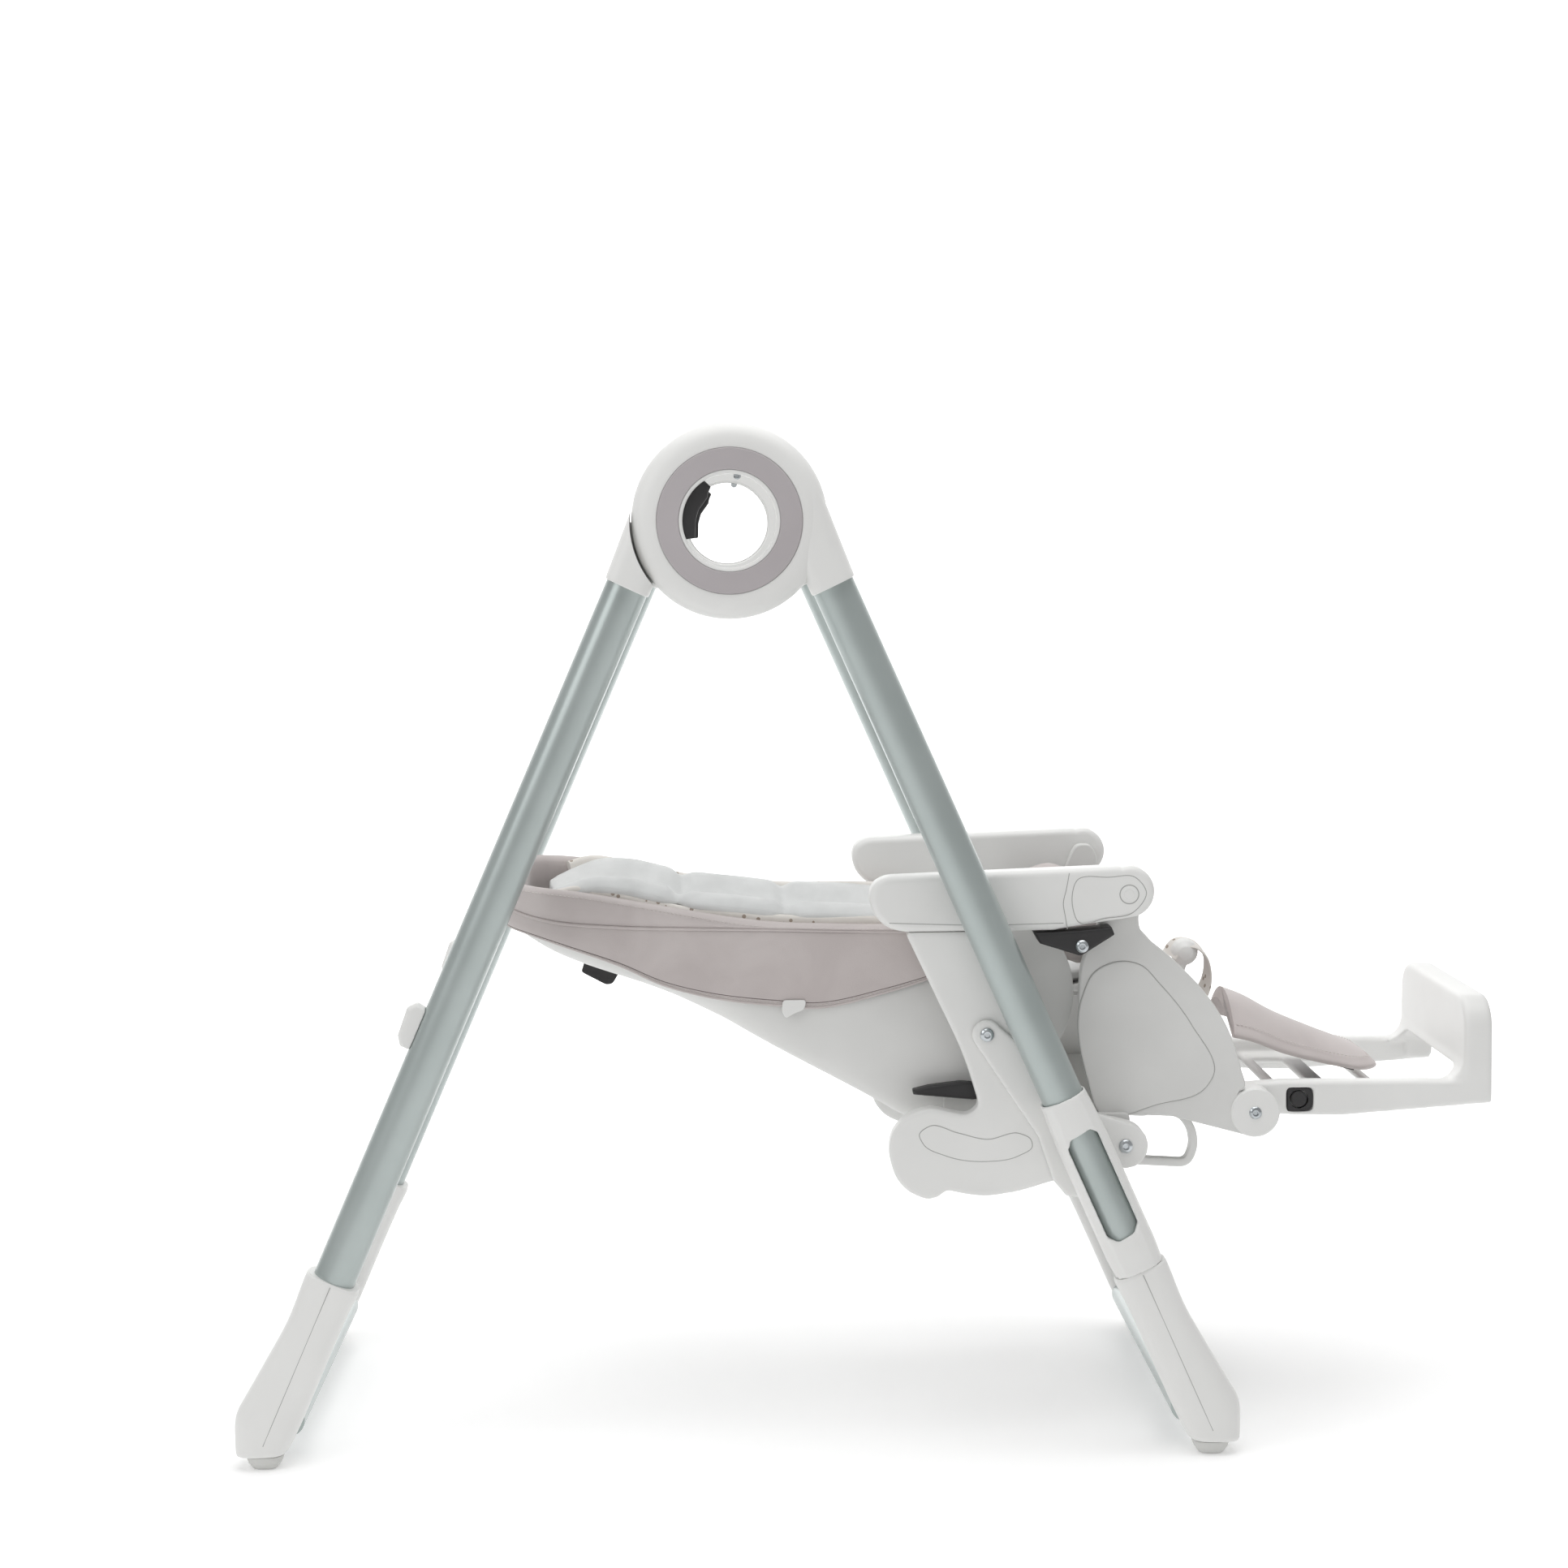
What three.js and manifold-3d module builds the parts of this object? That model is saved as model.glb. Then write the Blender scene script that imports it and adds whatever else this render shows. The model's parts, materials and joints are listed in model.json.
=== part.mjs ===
// A folding baby swing and high chair: an A-frame with two round hubs, and a reclining seat on its front legs.
// Millimetres and degrees. X runs from the head end to the foot end, Y across the seat, Z up from the floor.
import * as THREE from "three";
import { mergeVertices } from "three/addons/utils/BufferGeometryUtils.js";
import Module from "manifold-3d";

const wasm = await Module();
wasm.setup();

// ---- Clearances
const FIT = 0.35; // between pieces that touch
const RUNNING = 0.6; // between pieces that turn or slide on each other
const SIDE_GAP = 3.2; // between the seat's outer faces and the legs beside it

// ---- Frame
const HUB_HEIGHT = 934.6; // hub axis above the floor
const HUB_RADIUS = 95.4;
const HUB_BORE = 45.5;
const HUB_ROUND = 14; // rounding of the hub's outer rim
const HUB_PROUD = 32; // how far the hub's outer face stands past the leg's middle plane
const LEG_ANGLE = 23.74; // each leg from the vertical
const LEG_TRACK = 460; // between the middle planes of the left and right legs
const TUBE_RADIUS = 21.1;
const TUBE_WALL = 1.6;
const SOCKET_WALL = 7.9; // hub wall outside the leg tube
const SOCKET_LENGTH = 99; // along the leg, from the hub's middle
const CROSS_RADIUS = 17; // floor bars between the feet
const CROSS_HEIGHT = 42;
const CROSS_PLUG = 12; // how far a floor bar enters a foot

// ---- Feet
const FOOT_TOP = 188; // height at which the leg tube leaves the foot
const FOOT_SOCKET = 120; // how deep the tube sits in the foot
const FOOT_WALL = 3.5; // beside the leg tube
const PAD_HEIGHT = 13.6;

// ---- Seat, across
const LINK_THICKNESS = 5;
const SUPPORT_THICKNESS = 22;
const ARM_THICKNESS = 32;
const PANEL_THICKNESS = 13.5;
const SHELL_WALL = 6;
const COVER_THICKNESS = 3;
const BOLSTER_WIDTH = 35;

// ---- Seat, along, from the point on the leg's middle line where the carriage rests on the foot
const ARM_PIVOT = [-6, 372];
const RECLINE_PIVOT = [-149, 267];
const CALF_HINGE = [127, 143];
const UPPER_BOLT = [-149, 233];
const LOWER_BOLT = [-10, 118];
const CARRIAGE_LENGTH = 190;
const EAR_RADIUS = 93; // round side walls of the backrest about the recline pivot
const HINGE_RADIUS = 25.4;
const CALF_INSET = 16.1; // from a side panel's inner face to the leg rest's arm
const CALF_ARM = 24; // width of one of those arms
const BOLT_HEAD = 7;
const BOLT_SHANK = 4;

// ---- Worked out from the above
const RAD = Math.PI / 180;
const SIN = Math.sin(LEG_ANGLE * RAD);
const COS = Math.cos(LEG_ANGLE * RAD);
const TAN = SIN / COS;
const LEG_Y = LEG_TRACK / 2;
const FOOT_HALF_WIDTH = TUBE_RADIUS + FOOT_WALL;
const LEG_OFFSET = HUB_RADIUS - SOCKET_WALL - TUBE_RADIUS; // leg's middle line from the hub axis
const SOCKET_GAP = HUB_RADIUS + 1; // round clearance of the rear leg's socket about the hub
const LEG_START = Math.sqrt(SOCKET_GAP ** 2 - (LEG_OFFSET - TUBE_RADIUS) ** 2) + 1; // tube's upper end
const FOOT_X = LEG_OFFSET / COS + (HUB_HEIGHT - FOOT_TOP) * TAN; // carriage stop, from the hub axis
const STOP_T = LEG_OFFSET * TAN + (HUB_HEIGHT - FOOT_TOP) / COS; // the same, along the leg
const HUB_OUTER = LEG_Y + HUB_PROUD;
const HUB_INNER = LEG_Y - TUBE_RADIUS - 1.4;
const LAYER = [HUB_OUTER, LEG_Y + 3, LEG_Y - 17, HUB_INNER]; // hub shell, turning ring, inner cover
const LINK_OUTER = LEG_Y - TUBE_RADIUS - RUNNING;
const LINK_INNER = LINK_OUTER - LINK_THICKNESS;
const SUPPORT_OUTER = LINK_INNER - FIT;
const SUPPORT_INNER = SUPPORT_OUTER - SUPPORT_THICKNESS;
const ARM_OUTER = LEG_Y - TUBE_RADIUS - SIDE_GAP - 1.5;
const ARM_INNER = ARM_OUTER - ARM_THICKNESS;
const PANEL_OUTER = ARM_INNER - RUNNING;
const PANEL_INNER = PANEL_OUTER - PANEL_THICKNESS;
const SHELL_HALF = PANEL_INNER - 2 - FIT;
const SHELL_INNER = SHELL_HALF - SHELL_WALL;
const CALF_HALF = PANEL_INNER - CALF_INSET;

const WHITE = { color: 0xe9e9e7, roughness: 0.45, metalness: 0 };
const SHELL_GREY = { color: 0xd6d6d3, roughness: 0.5, metalness: 0 };
const TUBE_GREY = { color: 0xa2adac, roughness: 0.35, metalness: 0.6 };
const RING_GREY = { color: 0xaaa3a4, roughness: 0.5, metalness: 0 };
const BLACK = { color: 0x2b2a2b, roughness: 0.55, metalness: 0 };
const STEEL = { color: 0xb9c0c4, roughness: 0.25, metalness: 1 };
const RUBBER = { color: 0xdadad8, roughness: 0.8, metalness: 0 };
const COVER = { color: 0xb3a9a7, roughness: 0.6, metalness: 0 };
const LINER = { color: 0xf0f0ef, roughness: 0.9, metalness: 0 };

// ---- Geometry helpers

/** A manifold-3d solid of a closed three.js geometry, turned the right way out if needed. */
function solid(geometry) {
  const bare = geometry.index ? geometry.toNonIndexed() : geometry.clone();
  bare.deleteAttribute("normal");
  bare.deleteAttribute("uv");
  const merged = mergeVertices(bare, 1e-3);
  const position = merged.attributes.position;
  const index = Uint32Array.from(merged.index.array);
  const [a, b, c] = [new THREE.Vector3(), new THREE.Vector3(), new THREE.Vector3()];
  let volume = 0;
  for (let i = 0; i < index.length; i += 3) {
    a.fromBufferAttribute(position, index[i]);
    b.fromBufferAttribute(position, index[i + 1]);
    c.fromBufferAttribute(position, index[i + 2]);
    volume += a.dot(b.cross(c));
  }
  if (volume < 0) index.reverse();
  return new wasm.Manifold(new wasm.Mesh({ numProp: 3, vertProperties: position.array, triVerts: index }));
}

/** The three.js geometry of a manifold-3d solid. */
function geometryOf(made) {
  const data = made.getMesh();
  const positions = new Float32Array(data.numVert * 3);
  for (let i = 0; i < data.numVert; i += 1) {
    positions.set(data.vertProperties.subarray(i * data.numProp, i * data.numProp + 3), i * 3);
  }
  const geometry = new THREE.BufferGeometry();
  geometry.setAttribute("position", new THREE.BufferAttribute(positions, 3));
  geometry.setIndex(new THREE.BufferAttribute(data.triVerts, 1));
  geometry.computeVertexNormals();
  return geometry;
}

/** The solids joined into one. */
const join = (...pieces) => pieces.reduce((all, piece) => all.add(piece));

/** The first solid with all the others cut from it. */
const cut = (body, ...tools) => tools.reduce((left, tool) => left.subtract(tool), body);

/** A closed THREE.Shape through points given as [x, z]. */
const outline = (points) => new THREE.Shape(points.map(([x, z]) => new THREE.Vector2(x, z)));

/** Points of a smooth closed curve through the given ones. */
function smooth(points, steps = 40) {
  const curve = new THREE.CatmullRomCurve3(points.map(([x, z]) => new THREE.Vector3(x, z, 0)), true, "centripetal");
  return curve.getPoints(steps).slice(0, -1).map((p) => [p.x, p.y]);
}

/** Points of an arc about [x, z], from one angle to the other, in degrees. */
function arc([x, z], radius, from, to, steps = 12) {
  return Array.from({ length: steps + 1 }, (_, i) => {
    const angle = (from + ((to - from) * i) / steps) * RAD;
    return [x + radius * Math.cos(angle), z + radius * Math.sin(angle)];
  });
}

/** An upright plate: an XZ outline carried along Y from one value to the other, its edges rounded by bevel. */
function plate(shape, y0, y1, bevel = 0) {
  const [low, high] = [Math.min(y0, y1), Math.max(y0, y1)];
  const geometry = new THREE.ExtrudeGeometry(shape, {
    depth: high - low - 2 * bevel,
    bevelEnabled: bevel > 0,
    bevelSize: bevel,
    bevelThickness: bevel,
    bevelOffset: -bevel,
    bevelSegments: 1,
    curveSegments: 8,
  });
  geometry.rotateX(Math.PI / 2);
  geometry.translate(0, high - bevel, 0);
  return solid(geometry);
}

/** A flat slab: an XY outline carried up Z from one height to the other. */
function slab(shape, z0, z1) {
  const geometry = new THREE.ExtrudeGeometry(shape, { depth: z1 - z0, bevelEnabled: false, curveSegments: 10 });
  geometry.translate(0, 0, z0);
  return solid(geometry);
}

/** A rectangle with two round corners at its low-X end, for plan outlines. */
function roundedPlan(x0, x1, half, radius) {
  const corner = (y, from, to) => arc([x0 + radius, y], radius, from, to, 6);
  return outline([[x1, -half], [x1, half], ...corner(half - radius, 90, 180), ...corner(radius - half, 180, 270)]);
}

/** A body of revolution about a Y-parallel axis through [x, z]; the profile holds [radius, y] points. */
function turned(profile, [x, z] = [0, 0], segments = 30) {
  const geometry = new THREE.LatheGeometry(profile.map(([r, y]) => new THREE.Vector2(r, y)), segments);
  geometry.translate(x, 0, z);
  return solid(geometry);
}

/** A round disc or pin along Y. */
const disc = (centre, radius, y0, y1, segments = 24) =>
  turned([[0, y0], [radius, y0], [radius, y1], [0, y1]], centre, segments);

/** A flat ring along Y. */
const ring = (inner, outer, y0, y1, segments = 60) =>
  turned([[inner, y0], [outer, y0], [outer, y1], [inner, y1], [inner, y0]], [0, 0], segments);

/** A straight round bar, or a tube if it has an inner radius, between two points. */
function bar(from, to, radius, inner = 0, segments = 20) {
  const [start, end] = [new THREE.Vector3(...from), new THREE.Vector3(...to)];
  const along = end.clone().sub(start);
  const length = along.length();
  const profile = [[inner, 0], [radius, 0], [radius, length], [inner, length]];
  if (inner > 0) profile.push([inner, 0]);
  const geometry = new THREE.LatheGeometry(profile.map(([r, y]) => new THREE.Vector2(r, y)), segments);
  geometry.applyQuaternion(new THREE.Quaternion().setFromUnitVectors(new THREE.Vector3(0, 1, 0), along.normalize()));
  geometry.translate(...from);
  return solid(geometry);
}

/** A box between two corners. */
function box([x0, y0, z0], [x1, y1, z1]) {
  const geometry = new THREE.BoxGeometry(Math.abs(x1 - x0), Math.abs(y1 - y0), Math.abs(z1 - z0));
  geometry.translate((x0 + x1) / 2, (y0 + y1) / 2, (z0 + z1) / 2);
  return solid(geometry);
}

/** A closed skin over rings of points: neighbouring rings are joined and both ends are capped. */
function loft(rings) {
  const count = rings[0].length;
  const centre = (points) => points.reduce((sum, p) => sum.add(p), new THREE.Vector3()).divideScalar(count);
  const triangles = [];
  for (let r = 0; r + 1 < rings.length; r += 1) {
    for (let i = 0; i < count; i += 1) {
      const [a, b] = [rings[r][i], rings[r][(i + 1) % count]];
      const [c, d] = [rings[r + 1][i], rings[r + 1][(i + 1) % count]];
      triangles.push(a, b, c, b, d, c);
    }
  }
  const [first, last] = [rings[0], rings[rings.length - 1]];
  const [tip, tail] = [centre(first), centre(last)];
  for (let i = 0; i < count; i += 1) {
    const next = (i + 1) % count;
    triangles.push(tip, first[next], first[i], tail, last[i], last[next]);
  }
  return solid(new THREE.BufferGeometry().setFromPoints(triangles));
}

/** One ring of a loft: a rounded rectangle (superellipse) of half sizes a by b about [x, y, z]. */
function rounded([x, y, z], a, b, slope = 0, count = 16, power = 3) {
  return Array.from({ length: count }, (_, i) => {
    const angle = (2 * Math.PI * (i + 0.5)) / count;
    const [c, s] = [Math.cos(angle), Math.sin(angle)];
    const size = (Math.abs(c) ** power + Math.abs(s) ** power) ** (-1 / power);
    return new THREE.Vector3(x + a * size * c, y + b * size * s, z + slope * a * size * c);
  });
}

/** The outline of a strip of even thickness along a smooth path of [x, z] points. It can be lifted off the
 * path, and can cover only the share of it from one parameter to another. */
function strip(points, thickness, steps = 14, lift = 0, from = 0, to = 1) {
  const curve = new THREE.CatmullRomCurve3(points.map(([x, z]) => new THREE.Vector3(x, z, 0)), false, "centripetal");
  const side = (offset) =>
    Array.from({ length: steps + 1 }, (_, i) => {
      const at = from + ((to - from) * i) / steps;
      const [p, t] = [curve.getPoint(at), curve.getTangent(at)];
      return [p.x - t.y * offset, p.y + t.x * offset];
    });
  return outline([...side(lift - thickness / 2), ...side(lift + thickness / 2).reverse()]);
}

/** A point n off the leg's direction and t down it, as [x, z] from whatever origin the leg frame has. */
const onLeg = (n, t) => [n * COS + t * SIN, n * SIN - t * COS];

/** A bar, or a tube, along the right leg's direction: n off it, from t0 to t1 down it. */
function alongLeg(n, t0, t1, radius, inner = 0) {
  const [x0, z0] = onLeg(n, t0);
  const [x1, z1] = onLeg(n, t1);
  return bar([x0, -LEG_Y, z0], [x1, -LEG_Y, z1], radius, inner);
}

/** The geometry mirrored left to right (Y) or, for the rear frame, front to back (X). */
function mirrored(geometry, x, y) {
  const copy = geometry.clone();
  copy.scale(x, y, 1);
  if (x * y < 0) copy.index.array.reverse();
  copy.computeVertexNormals();
  return copy;
}

/** A named mesh in a group. */
function add(group, name, geometry, finish) {
  const mesh = new THREE.Mesh(geometry, new THREE.MeshStandardMaterial(finish));
  mesh.name = name;
  group.add(mesh);
}

/** A right-hand piece (low Y) and its left-hand twin. */
function addPair(group, name, made, finish, x = 1) {
  const geometry = geometryOf(made);
  add(group, `${name}_right`, mirrored(geometry, x, 1), finish);
  add(group, `${name}_left`, mirrored(geometry, x, -1), finish);
}

/** A piece on the middle plane. */
const addOne = (group, name, made, finish) => add(group, name, geometryOf(made), finish);

// ---- Hubs. Each has an outer shell with the front leg's socket, a turning ring with the rear leg's socket
// behind it, an inner cover, and a socket ring that the seat's arms hang from when it is used as a swing.

/** The outline of a leg socket: tangent to the hub and a little wider than the tube at its mouth. */
function socketOutline() {
  const mouth = TUBE_RADIUS + 1.8;
  const outside = [[HUB_RADIUS - 0.1, 0], [LEG_OFFSET + mouth, SOCKET_LENGTH - 1.5]];
  const inside = [[LEG_OFFSET - mouth, SOCKET_LENGTH + 1], [LEG_OFFSET - mouth - 12, SOCKET_LENGTH - 12]];
  const middle = [[0, HUB_BORE - 6], [0, 0]];
  return outline([...outside, ...inside, ...middle].map(([n, t]) => onLeg(n, t)));
}

/** The bore for a leg tube in its socket. */
const legBore = () => alongLeg(LEG_OFFSET, LEG_START - FIT, SOCKET_LENGTH + 40, TUBE_RADIUS + FIT);

/** A part of a flat ring between two angles, in degrees. */
function sector(inner, outer, from, to, y0, y1) {
  return plate(outline([...arc([0, 0], outer, from, to, 24), ...arc([0, 0], inner, to, from, 24)]), y0, y1);
}

function makeHubs(group) {
  const [face, mid, back, inner] = LAYER.map((y) => -y);
  const grip = { inner: 31, outer: HUB_BORE + 1.5, from: 122, to: 202 };
  const corner = [HUB_RADIUS - HUB_ROUND, face + HUB_ROUND];
  const round = arc([0, 0], HUB_ROUND, 180, 90, 4).map(([x, y]) => [corner[0] - x, corner[1] - y]);
  const shellProfile = [[HUB_BORE, mid], [HUB_BORE, face], ...round.reverse(), [HUB_RADIUS, mid], [HUB_BORE, mid]];
  const socket = plate(socketOutline(), face + 4, inner, 4);
  const ringOuter = HUB_BORE + 24;
  const block = cut(
    socket,
    disc([0, 0], ringOuter + RUNNING, mid, back, 60),
    disc([0, 0], SOCKET_GAP, back - FIT, inner + 1, 60),
    disc([0, 0], HUB_BORE, face - 1, inner + 1, 60),
  );
  const rim = sector(ringOuter + 3, HUB_RADIUS, LEG_ANGLE - 2, 180 - LEG_ANGLE - 5, mid - 1, back);
  const pocket = sector(HUB_BORE - 4, HUB_BORE + 7, grip.from - 4, grip.to + 4, face + 5, face + 24);
  const shell = cut(join(turned(shellProfile, [0, 0], 60), block, rim), pocket, legBore());
  addPair(group.front, "hub_shell", shell, WHITE);

  const gaps = [[face - 1, mid + RUNNING], [back - RUNNING, inner + 1]];
  const hood = cut(socket, ...gaps.map(([y0, y1]) => disc([0, 0], SOCKET_GAP, y0, y1, 60)));
  const turning = join(hood, ring(HUB_BORE + 0.4, ringOuter, mid + RUNNING, back - RUNNING));
  const rear = cut(turning, disc([0, 0], HUB_BORE + 0.4, face - 1, inner + 1, 60), legBore());
  addPair(group.rear, "rear_socket", rear, WHITE, -1);

  const trimStep = [HUB_BORE + 2.5, HUB_BORE + 25];
  addPair(group.front, "hub_trim", ring(...trimStep, face - 2.2, face - FIT), RING_GREY);
  addPair(group.front, "hub_cover", ring(ringOuter + 5, HUB_RADIUS, back + FIT, inner), WHITE);
  addPair(group.front, "swing_socket", ring(HUB_BORE + 0.5, ringOuter + 4, back + RUNNING, inner), WHITE);

  const thumb = outline([
    ...arc([0, 0], grip.outer, grip.from, grip.to, 8),
    ...[[-33.2, -16.5], [-32.8, 0], [-29.8, 10.4], [-21, 22.5], [-20.4, 26.5], [-17.6, 33]],
  ]);
  addPair(group.front, "fold_trigger", plate(thumb, face + 8, face + 21, 1.5), BLACK);
}

// ---- Legs and feet

/** A foot round the leg's lower end, about the carriage stop: its front swells above the floor pad. */
function footSolid() {
  const across = TUBE_RADIUS / COS;
  const walls = [[0, 1, 1], [-38, 6, 6], [-78, 5.5, 10.7], [-113, 5.5, 15.8], [-132, 5.5, 18], [-144, 5.3, 14.7],
    [PAD_HEIGHT + FIT - FOOT_TOP, 4, 2.4]];
  const rings = walls.map(([z, behind, before], i) => {
    const slope = i === 0 ? TAN : 0;
    const centre = [(before - behind) / 2 - z * TAN, -LEG_Y, z];
    return rounded(centre, across + (before + behind) / 2, FOOT_HALF_WIDTH, slope);
  });
  const bore = alongLeg(0, -40, FOOT_SOCKET, TUBE_RADIUS + FIT);
  const cross = bar(crossPoint(1.2), crossPoint(-60), CROSS_RADIUS + FIT);
  return cut(loft(rings), bore, cross);
}

/** A point on the floor bar's middle line, past (plus) or short of its end inside the foot. */
function crossPoint(past) {
  const z = CROSS_HEIGHT - FOOT_TOP;
  return [-z * TAN - 13, -(LEG_Y - FOOT_HALF_WIDTH + CROSS_PLUG + past), z];
}

/** The rubber pad under a foot. */
function padSolid() {
  const x = FOOT_TOP * TAN - 11;
  const half = FOOT_HALF_WIDTH;
  const levels = [[0, 11.5, half - 8], [PAD_HEIGHT / 2, 17, half - 4.5], [PAD_HEIGHT, 19, half - 3.5]];
  return loft(levels.map(([z, a, b]) => rounded([x, -LEG_Y, z - FOOT_TOP], a, b, 0, 12)));
}

function makeLegs(group, side) {
  const bottom = STOP_T + FOOT_SOCKET - FIT;
  const leg = alongLeg(LEG_OFFSET, LEG_START, bottom, TUBE_RADIUS, TUBE_RADIUS - TUBE_WALL);
  addPair(group.top, `${side}_leg`, leg, TUBE_GREY, group.facing);
  addPair(group.low, `${side}_foot`, footSolid(), WHITE, group.facing);
  addPair(group.low, `${side}_foot_pad`, padSolid(), RUBBER, group.facing);
  const [x, y, z] = crossPoint(0);
  const crossBar = bar([group.facing * x, y, z], [group.facing * x, -y, z], CROSS_RADIUS, CROSS_RADIUS - TUBE_WALL);
  addOne(group.low, `${side}_floor_bar`, crossBar, TUBE_GREY);
}

/** The small peg on a rear leg's outer side, which the removed tray hangs on. */
function makePegs(group) {
  const [t, n] = [STOP_T - 264, LEG_OFFSET + TUBE_RADIUS];
  const inner = [[n - 8, t + 21], [n - 8, t - 22]];
  const outer = [[n + 10, t - 25], [n + 17, t - 17], [n + 15, t + 12], [n + 9, t + 21]];
  const body = plate(outline([...inner, ...outer].map(([a, b]) => onLeg(a, b))), -LEG_Y - 9, -LEG_Y + 9, 3);
  const bore = alongLeg(LEG_OFFSET, t - 80, t + 80, TUBE_RADIUS + FIT);
  addPair(group, "tray_peg", cut(body, bore), WHITE, -1);
}

// ---- Seat carriage: a sleeve on each front leg, bolted to the seat's side support

function makeCarriages(group) {
  const walls = [[-CARRIAGE_LENGTH, 2.5, 2.9], [-170, 3.9, 4.1], [-140, 5.3, 4.9], [-20, 5.3, 4.9], [-FIT, 3.9, 3.9]];
  const rings = walls.map(([t, a, b]) => {
    const ringPoints = rounded([0, -LEG_Y, 0], TUBE_RADIUS + a, TUBE_RADIUS + b);
    return ringPoints.map((p) => new THREE.Vector3(p.x * COS + t * SIN, p.y, p.x * SIN - t * COS));
  });
  const bore = alongLeg(0, -CARRIAGE_LENGTH - 20, 20, TUBE_RADIUS + RUNNING);
  const windowHalf = TUBE_RADIUS * 0.8;
  const corners = [[-windowHalf, -143], [-windowHalf + 6, -151], [windowHalf - 6, -154], [windowHalf, -148],
    [windowHalf, -48], [windowHalf - 8, -40], [-windowHalf + 8, -38], [-windowHalf, -46]];
  const window = plate(outline(corners.map(([n, t]) => onLeg(n, t))), -LEG_Y - 40, -LEG_Y - 12);
  const link = outline([
    ...arc(UPPER_BOLT, 15, 30, 205, 8),
    [-98, 129], [-83, 84], [-70, 68], [-56, 66], [-44, 86],
    ...arc(LOWER_BOLT, 23, 250, 430, 8),
    [-40, 152], [-72, 186],
  ]);
  const linkPlate = plate(link, -LINK_OUTER, -LINK_INNER);
  const holes = [UPPER_BOLT, LOWER_BOLT].map((at) => disc(at, BOLT_SHANK + FIT, -LEG_Y, -SUPPORT_INNER + 5, 14));
  const body = cut(join(loft(rings), linkPlate), bore, window, ...holes);
  addPair(group, "carriage", body, WHITE);

  const seatAt = -LINK_OUTER - FIT;
  const tip = -SUPPORT_INNER - 4;
  const head = [[0, seatAt - 3.2], [BOLT_HEAD * 0.6, seatAt - 3], [BOLT_HEAD, seatAt - 1], [BOLT_HEAD, seatAt]];
  const shank = [[BOLT_SHANK, seatAt], [BOLT_SHANK, tip], [0, tip]];
  addPair(group, "upper_bolt", turned([...head, ...shank], UPPER_BOLT, 14), STEEL);
  addPair(group, "lower_bolt", turned([...head, ...shank], LOWER_BOLT, 14), STEEL);
}

/** The upright under each armrest, which ends in a curved handle below the seat. */
function makeSupports(group) {
  const top = ARM_PIVOT[1] - 37;
  const handle = [[-154, 152], [-168, 150], [-186, 154], [-207, 159], [-231, 150], [-246, 132], [-248, 110], [-241, 87],
    [-229, 74], [-210, 65.6], [-196, 69], [-153, 68], [-116, 73], [-83, 83], [-51, 92]];
  const body = outline([[-151, top], [-231, top], [-171.5, 211.4], ...handle, ...arc(LOWER_BOLT, 23, 260, 435, 8),
    [-51, 150], [-86, 164], [-99, 212]]);
  const holes = [UPPER_BOLT, LOWER_BOLT].map((at) => disc(at, BOLT_SHANK + FIT, -LEG_Y, -SUPPORT_INNER - 4 + FIT, 14));
  addPair(group, "side_support", cut(plate(body, -SUPPORT_OUTER, -SUPPORT_INNER, 4), ...holes), WHITE);
}

// ---- Seat base: two side panels, the pan between them, the beam under it, and the loops below

const PAN_PATH = [[-172, 262], [-101, 258], [-51, 264], [-1, 274], [39, 267], [69, 244], [91, 210], [102, 174]];
const PAN_THICKNESS = 6;
const PAD_THICKNESS = 20;

function panelSolid() {
  const [hx] = CALF_HINGE;
  const body = outline([
    [-28, 141], [-38, 160], [-50, 215], [-53, 261], [-50, 300], [-36, 330],
    ...arc(ARM_PIVOT, 15, 180, 0, 10),
    [8, 328], [39.5, 305], [65, 280], [84, 256.5], [98, 233], [106.6, 211], [112, 190], [hx - 12, 172],
    ...arc(CALF_HINGE, HINGE_RADIUS, 75, -95, 12),
    [33, 142.7],
  ]);
  const boss = disc(CALF_HINGE, HINGE_RADIUS, -PANEL_OUTER, -CALF_HALF - RUNNING);
  return join(plate(body, -PANEL_OUTER, -PANEL_INNER, 2), boss);
}

function loopSolid() {
  const body = outline([[-6, 145], [55, 142], [72, 118], [75, 100], [70, 88], [58, 80], [-6, 86]]);
  const finger = smooth([[22, 93], [58, 92], [60, 115], [24, 117]], 12);
  body.holes.push(new THREE.Path(finger.map((point) => new THREE.Vector2(...point))));
  return plate(body, -SHELL_INNER + 12, -SHELL_INNER + 26);
}

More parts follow.
